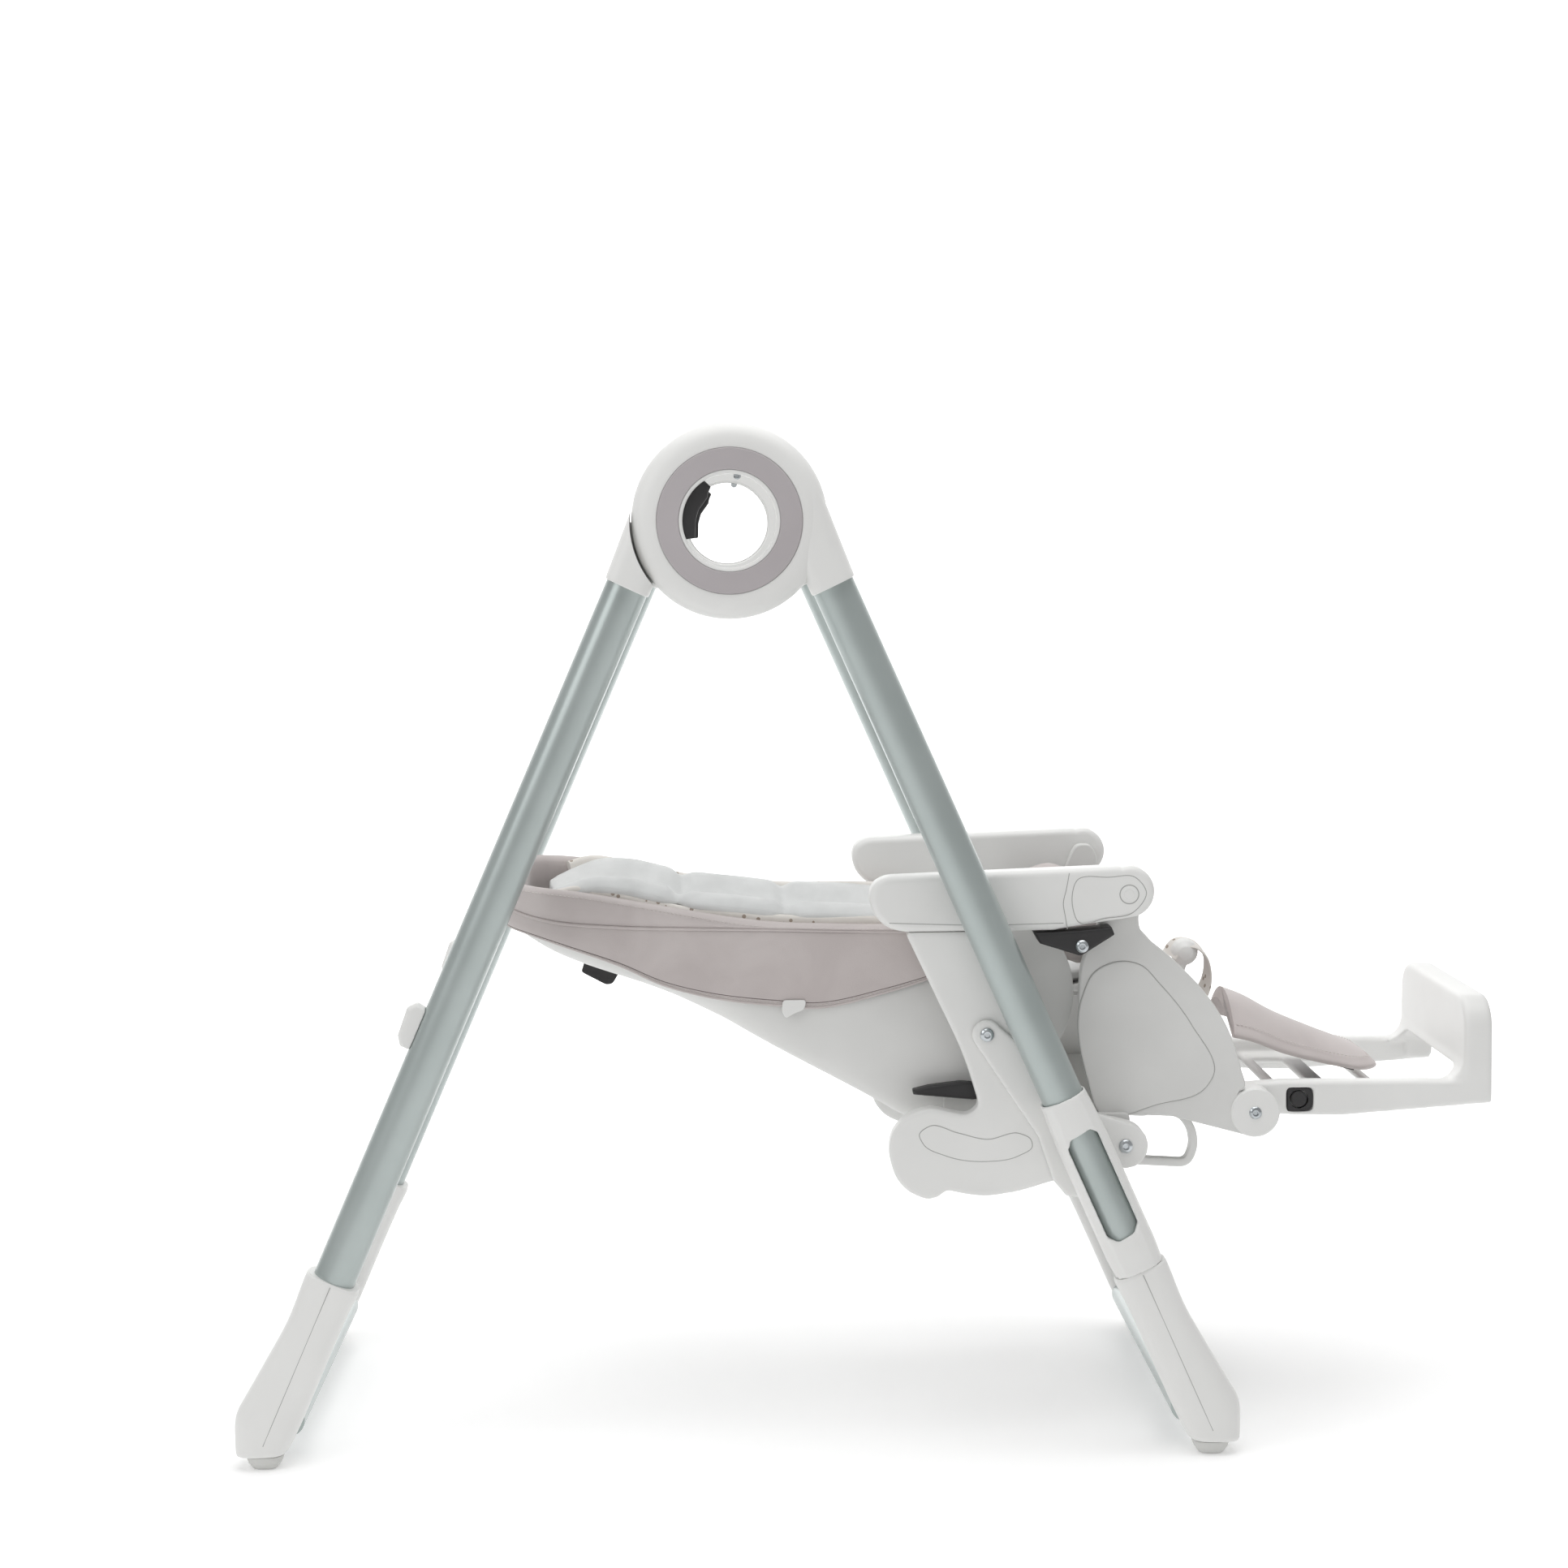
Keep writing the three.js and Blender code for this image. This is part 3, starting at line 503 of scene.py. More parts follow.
def group_shell(name: str, inputs: dict[str, float]) -> bpy.types.NodeTree:
    """An empty shader node group with number inputs, and the outputs Height and Tone.

    Args:
        name: the group's name.
        inputs: each input's name and first value.

    Returns:
        The node group, with nodes named "in", "out" and "place" for its inputs, outputs and coordinates.
    """
    tree = bpy.data.node_groups.new(name, "ShaderNodeTree")
    for label, value in inputs.items():
        tree.interface.new_socket(label, in_out="INPUT", socket_type="NodeSocketFloat").default_value = value
    for label in ("Height", "Tone"):
        tree.interface.new_socket(label, in_out="OUTPUT", socket_type="NodeSocketFloat")
    named = {"in": "NodeGroupInput", "out": "NodeGroupOutput", "place": "ShaderNodeTexCoord"}
    for label, kind in named.items():
        tree.nodes.new(kind).name = label
    return tree


def pattern(tree: bpy.types.NodeTree, kind: str, label: str, **settings: float) -> bpy.types.Node:
    """A texture node on Object coordinates, whose scale is one of the group's inputs.

    Args:
        tree: the node group.
        kind: the texture, such as "Noise".
        label: the input that gives the scale.
        **settings: fixed values of the texture's sockets.

    Returns:
        The node.
    """
    node = tree.nodes.new("ShaderNodeTex" + kind)
    tree.links.new(tree.nodes["place"].outputs["Object"], node.inputs["Vector"])
    tree.links.new(tree.nodes["in"].outputs[label], node.inputs["Scale"])
    for socket, value in settings.items():
        node.inputs[socket].default_value = value
    return node


def arithmetic(tree: bpy.types.NodeTree, operation: str,
               *terms: bpy.types.NodeSocket | float) -> bpy.types.NodeSocket:
    """The result of a math node over sockets and fixed numbers.

    Args:
        tree: the node tree to add it to.
        operation: the node's operation.
        *terms: what it works on, in order.

    Returns:
        The result's socket.
    """
    node = tree.nodes.new("ShaderNodeMath")
    node.operation = operation
    for socket, term in zip(node.inputs, terms):
        if isinstance(term, float):
            socket.default_value = term
        else:
            tree.links.new(term, socket)
    return node.outputs["Value"]


def give_out(tree: bpy.types.NodeTree, height: bpy.types.NodeSocket,
             tone: bpy.types.NodeSocket) -> bpy.types.NodeTree:
    """Links a group's two outputs, and returns the group."""
    tree.links.new(height, tree.nodes["out"].inputs["Height"])
    tree.links.new(tone, tree.nodes["out"].inputs["Tone"])
    return tree


def moulding_group() -> bpy.types.NodeTree:
    """Spark-eroded mould grain: fine noise as height, and broad noise as a slow change of tone."""
    tree = group_shell("moulding_grain", {"Grain": 900.0, "Mottle": 9.0})
    fine, broad = pattern(tree, "Noise", "Grain", Detail=2.0), pattern(tree, "Noise", "Mottle", Detail=4.0)
    return give_out(tree, fine.outputs["Fac"], broad.outputs["Fac"])


def hide_group() -> bpy.types.NodeTree:
    """Coated fabric: small rounded cells as a leather-like grain, with soft broad creases under them."""
    tree = group_shell("coated_grain", {"Cells": 700.0, "Creases": 16.0})
    cells = pattern(tree, "Voronoi", "Cells")
    creases = pattern(tree, "Noise", "Creases", Detail=5.0, Distortion=0.6).outputs["Fac"]
    return give_out(tree, arithmetic(tree, "MULTIPLY_ADD", cells.outputs["Distance"], 0.12, creases), creases)


def knit_group() -> bpy.types.NodeTree:
    """Soft jersey: crossed fine ribs of loops as height, broken up by fuzz, and a slow change of tone."""
    tree = group_shell("jersey_knit", {"Loops": 520.0, "Fuzz": 60.0})
    fuzz = pattern(tree, "Noise", "Fuzz", Detail=6.0).outputs["Fac"]
    ribs = [pattern(tree, "Wave", "Loops", Distortion=1.2) for _ in range(2)]
    ribs[0].bands_direction, ribs[1].bands_direction = "X", "Y"
    woven = arithmetic(tree, "MULTIPLY", *(rib.outputs["Fac"] for rib in ribs))
    return give_out(tree, arithmetic(tree, "MULTIPLY_ADD", woven, 0.35, fuzz), fuzz)


class Texture(Enum):
    """The surface textures that the finishes choose from."""

    MOULDED = "moulding_grain"
    COATED = "coated_grain"
    KNITTED = "jersey_knit"

    def tree(self) -> bpy.types.NodeTree:
        """This texture's node group, built the first time it is asked for."""
        makers = {Texture.MOULDED: moulding_group, Texture.COATED: hide_group, Texture.KNITTED: knit_group}
        return bpy.data.node_groups.get(self.value) or makers[self]()


@dataclass(frozen=True)
class Finish:
    """A surface finish: two tones, a roughness range and a fine relief, with fixed shader values."""

    name: str
    slot: str
    dark: tuple[float, float, float]
    light: tuple[float, float, float]
    rough: tuple[float, float]
    texture: Texture = Texture.MOULDED
    scales: tuple[float, float] = (900.0, 9.0)
    relief: float = 0.04
    metallic: float = 0.0
    coat: float = 0.0
    sheen: float = 0.0
    speckled: bool = False
    tone_range: tuple[float, float] = (0.35, 0.65)
    speck_scale: float = 95.0
    speck_reach: float = 0.2
    speck_colour: tuple[float, float, float, float] = (0.36, 0.30, 0.25, 1.0)

    def material(self) -> bpy.types.Material:
        """The finish as a material, built the first time it is asked for.

        Returns:
            The material.
        """
        found = bpy.data.materials.get(self.name)
        if found:
            return found
        material = bpy.data.materials.new(self.name)
        material.use_nodes = True
        nodes, link = material.node_tree.nodes, material.node_tree.links.new
        shader = nodes["Principled BSDF"]
        shader.inputs["Metallic"].default_value = self.metallic
        shader.inputs["Coat Weight"].default_value = self.coat
        shader.inputs["Sheen Weight"].default_value = self.sheen
        group = nodes.new("ShaderNodeGroup")
        group.node_tree = self.texture.tree()
        group.inputs[0].default_value, group.inputs[1].default_value = self.scales
        tones, shine = nodes.new("ShaderNodeValToRGB"), nodes.new("ShaderNodeMapRange")
        ends = tones.color_ramp.elements
        ends[0].position, ends[1].position = self.tone_range
        ends[0].color, ends[1].color = (*self.dark, 1.0), (*self.light, 1.0)
        shine.inputs["To Min"].default_value, shine.inputs["To Max"].default_value = self.rough
        bump = nodes.new("ShaderNodeBump")
        bump.inputs["Strength"].default_value = 1.0
        bump.inputs["Distance"].default_value = self.relief * MM
        link(group.outputs["Tone"], tones.inputs["Fac"])
        link(group.outputs["Tone"], shine.inputs["Value"])
        link(group.outputs["Height"], bump.inputs["Height"])
        link(shine.outputs["Result"], shader.inputs["Roughness"])
        link(bump.outputs["Normal"], shader.inputs["Normal"])
        colour = self.specks(material, tones.outputs["Color"]) if self.speckled else tones.outputs["Color"]
        link(colour, shader.inputs["Base Color"])
        return material

    def specks(self, material: bpy.types.Material, base: bpy.types.NodeSocket) -> bpy.types.NodeSocket:
        """Small printed dots: the ground's colour gives way to a warm grey near each cell's middle.

        Args:
            material: the material to add to.
            base: the ground's colour.

        Returns:
            The mixed colour.
        """
        nodes, link = material.node_tree.nodes, material.node_tree.links.new
        place, cells = nodes.new("ShaderNodeTexCoord"), nodes.new("ShaderNodeTexVoronoi")
        cells.inputs["Scale"].default_value = self.speck_scale
        mix = nodes.new("ShaderNodeMix")
        mix.data_type = "RGBA"
        share, _, _, _, _, _, ground, dot = mix.inputs[:8]
        dot.default_value = self.speck_colour
        link(place.outputs["Object"], cells.inputs["Vector"])
        link(arithmetic(material.node_tree, "LESS_THAN", cells.outputs["Distance"], self.speck_reach), share)
        link(base, ground)
        return mix.outputs[2]


WHITE_SHELL = Finish("white_moulding", "white_plastic", (0.765, 0.765, 0.75), (0.80, 0.80, 0.785),
                     (0.40, 0.48))
GREY_SHELL = Finish("pale_grey_moulding", "shell_plastic", (0.66, 0.66, 0.645), (0.70, 0.70, 0.685),
                    (0.44, 0.52))
PAINTED_TUBE = Finish("grey_green_metallic_paint", "tube", (0.42, 0.47, 0.46), (0.45, 0.50, 0.49),
                      (0.30, 0.36), scales=(2600.0, 12.0), relief=0.006, metallic=0.55, coat=0.25)
MAUVE_RING = Finish("mauve_ring_moulding", "ring_plastic", (0.44, 0.41, 0.42), (0.47, 0.44, 0.45),
                    (0.42, 0.5))
BLACK_PART = Finish("black_moulding", "black_plastic", (0.018, 0.017, 0.018), (0.03, 0.029, 0.03),
                    (0.42, 0.55), relief=0.07)
ZINC_STEEL = Finish("zinc_plated_steel", "steel", (0.46, 0.49, 0.51), (0.60, 0.63, 0.65), (0.18, 0.32),
                    scales=(1800.0, 60.0), relief=0.01, metallic=1.0)
SOLE_RUBBER = Finish("pale_sole_rubber", "pad_rubber", (0.60, 0.60, 0.58), (0.70, 0.70, 0.68), (0.7, 0.85),
                     relief=0.09)
COATED_CLOTH = Finish("mauve_coated_cloth", "cover", (0.50, 0.452, 0.442), (0.56, 0.512, 0.50), (0.46, 0.6),
                      texture=Texture.COATED, scales=(750.0, 14.0), relief=0.5, sheen=0.1)
LINER_JERSEY = Finish("white_jersey", "liner", (0.66, 0.67, 0.665), (0.73, 0.74, 0.735), (0.8, 0.92),
                      texture=Texture.KNITTED, scales=(420.0, 34.0), relief=0.35, sheen=0.35)
LINER_PRINT = Finish("speckled_cotton", "liner", (0.72, 0.69, 0.65), (0.80, 0.77, 0.73), (0.8, 0.92),
                     texture=Texture.KNITTED, scales=(500.0, 30.0), relief=0.2, sheen=0.2, speckled=True)
# Painted shade: a dark grey for thin beads that stand in for the shadow in moulding grooves, gaps and parting
# lines.
SEAM_SHADE = Finish("parting_line", "shell_plastic", (0.36, 0.36, 0.35), (0.42, 0.42, 0.41), (0.7, 0.8))
# Painted shade: a dark mauve for thin cords that stand in for the shadow in the groove under the piping and
# along the hem.
CLOTH_SHADE = Finish("cloth_fold_shade", "cover", (0.17, 0.145, 0.14), (0.20, 0.17, 0.165), (0.7, 0.8),
                     relief=0.05)
THREAD = Finish("sewing_thread", "cover", (0.56, 0.52, 0.50), (0.66, 0.62, 0.60), (0.55, 0.65), relief=0.05)
HOOK_TAPE = Finish("hook_tape", "black_plastic", (0.012, 0.012, 0.013), (0.03, 0.03, 0.032), (0.85, 0.95),
                   relief=0.4)


def dress(piece: bpy.types.Object, body: str, finish: Finish, *nodes: str) -> bpy.types.Object:
    """Gives a piece its finish and its place in the mechanism.

    Args:
        piece: the piece.
        body: the CAD body it rides on.
        finish: its finish.
        *nodes: the CAD nodes it stands for.

    Returns:
        The same piece.
    """
    piece.data.materials.clear()
    piece.data.materials.append(finish.material())
    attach(piece, body)
    if nodes:
        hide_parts(*nodes)
    LOG.info("%s: %d faces, on %s", piece.name, len(piece.data.polygons), body)
    return piece


def merged_copy(node: str) -> bpy.types.Object:
    """A copy of a CAD node with its doubles merged and its flat areas made whole.

    Args:
        node: the CAD node.

    Returns:
        The new object, named after the node.
    """
    source = frame["nodes"][node].data
    order = np.empty(len(source.loops), dtype=np.int64)
    source.loops.foreach_get("vertex_index", order)
    spots = np.round(vectors(source.vertices, "co"), 6)
    unique, where = np.unique(spots, axis=0, return_inverse=True)
    faces = where.reshape(-1)[order].reshape(-1, 3)
    kept = np.all(faces != np.roll(faces, 1, axis=1), axis=1)
    mesh = bpy.data.meshes.new(node + "_look")
    mesh.from_pydata(unique.tolist(), [], faces[kept].tolist())
    work = bmesh.new()
    work.from_mesh(mesh)
    bmesh.ops.dissolve_limit(work, angle_limit=math.radians(0.6), verts=work.verts, edges=work.edges)
    work.to_mesh(mesh)
    work.free()
    return in_scene(node + "_look", mesh)


def joined(name: str, pieces: Sequence[bpy.types.Object]) -> bpy.types.Object:
    """One object that holds the meshes of several.

    Args:
        name: the joined object's name.
        pieces: the objects to join, which are removed.

    Returns:
        The new object.
    """
    work = bmesh.new()
    for piece in pieces:
        work.from_mesh(piece.data)
        bpy.data.objects.remove(piece)
    mesh = bpy.data.meshes.new(name)
    work.to_mesh(mesh)
    work.free()
    shade(mesh, CREASE)
    return in_scene(name, mesh)


def trim_away(piece: bpy.types.Object, cutter: bpy.types.Object) -> None:
    """Takes a cutter's solid away from a piece, and removes the cutter.

    Args:
        piece: the piece to cut.
        cutter: the closed solid to take away.
    """
    less = piece.modifiers.new("cut", "BOOLEAN")
    less.operation, less.object, less.solver = "DIFFERENCE", cutter, "EXACT"
    replace_mesh(piece)
    bpy.data.objects.remove(cutter)
    shade(piece.data, CUT_CREASE)


def replace_mesh(piece: bpy.types.Object) -> None:
    """Makes what a piece's modifiers show its real mesh, and removes them.

    Args:
        piece: the piece to change.
    """
    shown = piece.evaluated_get(bpy.context.evaluated_depsgraph_get())
    mesh = bpy.data.meshes.new_from_object(shown)
    piece.modifiers.clear()
    piece.data = mesh


def moulded(node: str, voxel: float, passes: int) -> bpy.types.Object:
    """A copy of a CAD node with the soft rounded edges of a moulding: see merged_copy and eased."""
    return eased(merged_copy(node), voxel, passes)


def eased(piece: bpy.types.Object, voxel: float, passes: int) -> bpy.types.Object:
    """Gives a closed piece soft edges: an even mesh, then each point moved toward its neighbours' middle.

    Args:
        piece: the piece to change.
        voxel: the even mesh's size in millimetres.
        passes: how often each point moves.

    Returns:
        The same piece.
    """
    even = piece.modifiers.new("even_mesh", "REMESH")
    even.mode, even.voxel_size = "VOXEL", voxel * MM
    soft = piece.modifiers.new("soft_edges", "SMOOTH")
    soft.factor, soft.iterations = 0.5, passes
    replace_mesh(piece)
    shade(piece.data, SOFT_CREASE)
    return piece


def line_bead(name: str, path: Points, y: float, width: float, closed: bool = False,
              count: int = 120) -> bpy.types.Object:
    """A thin bead along an XZ path on a flat side; dressed dark, it is painted groove shade that reads as a
    parting line.

    Args:
        name: the object's name.
        path: X and Z of the points to pass through.
        y: the flat side's Y.
        width: the bead's width.
        closed: whether the path joins up.
        count: points along it.

    Returns:
        The new object.
    """
    flat = smooth_curve(path, count, closed)
    return swept(name, at_y(flat, y), oval(width / 2, width / 4, 8), ACROSS, closed)


def stitches(name: str, path: np.ndarray, up: Sequence[float], pitch: float = 4.2,
             length: float = 2.9) -> bpy.types.Object:
    """A row of thread stitches: short tapered six-sided beads at even steps along a path.

    Args:
        name: the object's name.
        path: the seam's points in millimetres.
        up: the direction that the beads' lift stays nearest to.
        pitch: from stitch to stitch.
        length: of one stitch.

    Returns:
        The new object.
    """
    total = float(np.sum(np.linalg.norm(np.diff(path, axis=0), axis=1)))
    middle = spread(path, max(int(total / pitch), 3))
    side, lift = frames(middle, up)
    along = np.cross(lift, side)
    station = np.array([-0.5, -0.32, 0.32, 0.5]) * length
    thick = np.array([0.12, 0.5, 0.5, 0.12])
    angle = np.linspace(0.0, 2 * np.pi, 6, endpoint=False)
    round_side = thick[:, None] * np.cos(angle)
    round_lift = thick[:, None] * np.sin(angle) * 0.8
    bead = along[:, None, None] * station[:, None, None] + side[:, None, None] * round_side[..., None]
    rings = middle[:, None, None] + bead + lift[:, None, None] * round_lift[..., None]
    first = 24 * np.arange(len(middle))[:, None, None]
    walls = (grid_faces(4, 6, False, True) + first).reshape(-1, 4)
    ends = (np.array([np.arange(5, -1, -1), np.arange(18, 24)]) + first).reshape(-1, 6)
    return make_object(name, rings, walls.tolist() + ends.tolist(), 60.0)


# ---- Places taken from the frame


@dataclass
class Datum:
    """Where the object's main axes are, in millimetres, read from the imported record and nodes."""

    hub: np.ndarray = field(default_factory=lambda: Datum.joint("rear_fold"))
    recline: np.ndarray = field(default_factory=lambda: Datum.joint("backrest_recline"))
    calf: np.ndarray = field(default_factory=lambda: Datum.joint("leg_rest_tilt"))
    arm: np.ndarray = field(default_factory=lambda: Datum.joint("armrest_right_lift"))
    leg_angle: float = 23.74
    leg_offset: float = 66.4
    arm_rise: tuple[float, float] = (-6.0, 372.0)

    @staticmethod
    def joint(name: str) -> np.ndarray:
        """X and Z of a joint's axis.

        Args:
            name: the joint's name.

        Returns:
            The two coordinates in millimetres.
        """
        joints = frame["record"]["behaviour"]["joints"]
        spot = next(item["pos_m"] for item in joints if item["name"] == name)
        return np.array([spot[0], spot[2]]) / MM

    @property
    def seat(self) -> np.ndarray:
        """The seat's own zero: the carriage stop on the leg's middle line."""
        return self.arm - np.array(self.arm_rise)

    def on_leg(self, points: Points, facing: int = 1) -> np.ndarray:
        """X and Z of points given as n off the leg's direction and t down it, from the hub's axis.

        Args:
            points: n and t of each point.
            facing: 1 for the front leg, -1 for the rear one.

        Returns:
            The points as X and Z.
        """
        n, t = np.asarray(points, float).T
        c, s = math.cos(math.radians(self.leg_angle)), math.sin(math.radians(self.leg_angle))
        return np.stack([self.hub[0] + facing * (n * c + t * s), self.hub[1] + n * s - t * c], axis=1)


def node_span(node: str) -> tuple[np.ndarray, np.ndarray]:
    """A CAD node's lowest and highest corners in millimetres."""
    low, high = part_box(node)
    return np.asarray(low, float) / MM, np.asarray(high, float) / MM


# ---- The A-frame


@dataclass
class Hub:
    """One round hub: its shell with the front leg's socket, the trim, the rear socket and the inner rings."""

    datum: Datum
    side: Side
    radius: float = 95.4
    bore: float = 45.5
    face: float = 262.0
    back: float = 207.5
    cover_face: float = 212.4
    sleeve_middle: float = 234.9
    sleeve_lean: float = -0.03
    rear_gap: float = 1.5
    ring_radii: tuple[float, float] = (46.2, 69.0)
    ring_faces: tuple[float, float] = (232.2, 214.0)
    tongue_radii: tuple[float, float] = (99.5, 67.5)
    trim_radii: tuple[float, float] = (49.4, 70.4)
    tongue_turn: tuple[float, float] = (24.0, 62.0)
    split: tuple[float, float] = (233.3, 213.6)

    def ring(self, name: str, profile: Points, count: int = 160) -> bpy.types.Object:
        """A ring round the hub's axis, from a closed profile of radius and distance from the middle plane.

        Args:
            name: the start of the piece's name.
            profile: the profile.
            count: points round the ring.

        Returns:
            The new object.
        """
        return turned(name + self.side.tag, self.side.profile(profile), self.datum.hub, count)

    def shell(self) -> bpy.types.Object:
        """The outer shell: a turned ring whose rim is one soft curve, and the front socket grown from it."""
        lip = arc((self.bore + 3.0, self.face - 3.0), 3.0, 180, 90, 6)
        recess = [(49.0, self.face - 0.2), (49.2, self.face - 1.2), (70.6, self.face - 1.2),
                  (70.9, self.face - 0.3)]
        crown = smooth_curve([(71.4, 261.9), (78, 261.4), (85, 259.2), (91, 254.6), (94.6, 247.5),
                              (95.4, 239)], 22)
        profile = [(self.bore, self.split[0]), *lip, *recess, *crown, (self.radius, self.split[0])]
        ring = self.ring("hub_ring_", profile)
        return joined("hub_shell_look_" + self.side.tag, [ring, self.sleeve("hub_sleeve_", 1)])

    def sleeve(self, name: str, facing: int) -> bpy.types.Object:
        """The sleeve that takes a leg: squared ovals down it, whose outer edge runs on from the hub's rim.

        Args:
            name: the start of the piece's name.
            facing: 1 for the front leg's sleeve, -1 for the rear one's.

        Returns:
            The new object.
        """
        down = np.array([-26.0, -12.0, 8.0, 34.0, 62.0, 84.0, 95.5, 98.6, 99.0])
        outer = np.array([91.0, 93.6, 93.2, 92.0, 90.8, 89.9, 89.5, 88.8, 87.0])
        inner = np.array([70.0, 66.0, 58.0, 49.0, 44.6, 43.6, 43.4, 44.0, 45.6])
        half = np.array([20.0, 23.0, 25.2, 26.0, 26.2, 26.2, 26.2, 25.6, 24.0])
        ring = oval((outer - inner) / 2, half, 72, 3.4)
        n = (outer + inner)[:, None] / 2 + ring[..., 0]
        tilt = (n - self.datum.leg_offset) * self.sleeve_lean
        spots = np.stack([n, down[:, None] + tilt], axis=-1).reshape(-1, 2)
        flat = self.datum.on_leg(spots, facing).reshape(*n.shape, 2)
        y = self.side.value * (self.sleeve_middle + ring[..., 1])
        rings = blended_rows(np.stack([flat[..., 0], y, flat[..., 1]], axis=-1), 60)
        return skin(name + self.side.tag, rings, crease=45.0)

    def rear(self) -> bpy.types.Object:
        """The rear leg's socket: its sleeve, cut clear of the hub's rim, and the ring that turns inside."""
        clear = self.radius + self.rear_gap
        disc = [(AXIS, 200.0), (clear, 200.0), (clear, 270.0), (AXIS, 270.0)]
        cutter = turned("rear_cutter_" + self.side.tag, self.side.profile(disc), self.datum.hub, 160,
                        closed=False)
        hood = self.sleeve("rear_hood_", -1)
        trim_away(hood, cutter)
        (inner, outer), (face, back) = self.ring_radii, self.ring_faces
        profile = [(inner, back), (inner, face), (outer, face), (outer, back)]
        ring = self.ring("rear_ring_", profile, 128)
        (far, near), (first, last) = self.tongue_radii, self.tongue_turn
        tongue = np.vstack([arc((0, 0), far, first, last, 12), arc((0, 0), near, last, first, 12)])
        levels = self.side.levels(face, back + 0.2)
        web = plate("rear_web_" + self.side.tag, self.datum.on_leg(tongue, -1), *levels, 0.5)
        return joined("rear_socket_look_" + self.side.tag, [hood, ring, web])

    def trim(self) -> bpy.types.Object:
        """The flat mauve ring let into the hub's face."""
        (inner, outer), low, high = self.trim_radii, self.face - 1.0, self.face + 0.9
        rise = [(inner, low), (inner, high - 0.6), (inner + 0.6, high)]
        profile = [*rise, (outer - 0.6, high), (outer, high - 0.6), (outer, low)]
        return self.ring("hub_trim_look_", profile)

    def inner_rings(self) -> tuple[bpy.types.Object, bpy.types.Object]:
        """The hub's inner cover and the ring that the hanging arms plug into.

        Returns:
            The cover and the socket ring.
        """
        low, high = self.back + 0.1, self.cover_face
        cover = [(75.0, high), (75.0, low + 1), (76, low), (89, low), (94, low + 2.4), (95.2, high)]
        key = [(46.4, high), (46.4, low + 1.2), (47.6, low), (57, low), (58, low + 2), (64, low + 2),
               (65, low), (72.2, low), (73.2, low + 1), (73.2, high)]
        return self.ring("hub_cover_look_", cover, 144), self.ring("swing_socket_look_", key, 144)

    def screw(self) -> bpy.types.Object:
        """The small plated screw at the top of the bore."""
        spot = (self.datum.hub[0] + 8.0, self.datum.hub[1] + self.bore - 2.0)
        head = [(AXIS, 240.0), (3.4, 240.0), (3.6, 241.2), (2.6, 242.0), (AXIS, 242.0)]
        return turned("hub_screw_" + self.side.tag, self.side.profile(head), spot, 24, closed=False)

    def build(self) -> None:
        """Makes and dresses the hub's pieces."""
        tag = self.side.tag
        dress(self.shell(), "front_frame", WHITE_SHELL, "hub_shell_" + tag)
        dress(self.trim(), "front_frame", MAUVE_RING, "hub_trim_" + tag)
        dress(self.rear(), "rear_frame", WHITE_SHELL, "rear_socket_" + tag)
        cover, key = self.inner_rings()
        dress(cover, "front_frame", WHITE_SHELL, "hub_cover_" + tag)
        dress(key, "swing_socket_" + tag, WHITE_SHELL, "swing_socket_" + tag)
        dress(moulded("fold_trigger_" + tag, 0.9, 4), "fold_trigger_" + tag, BLACK_PART,
              "fold_trigger_" + tag)
        dress(self.screw(), "front_frame", ZINC_STEEL)


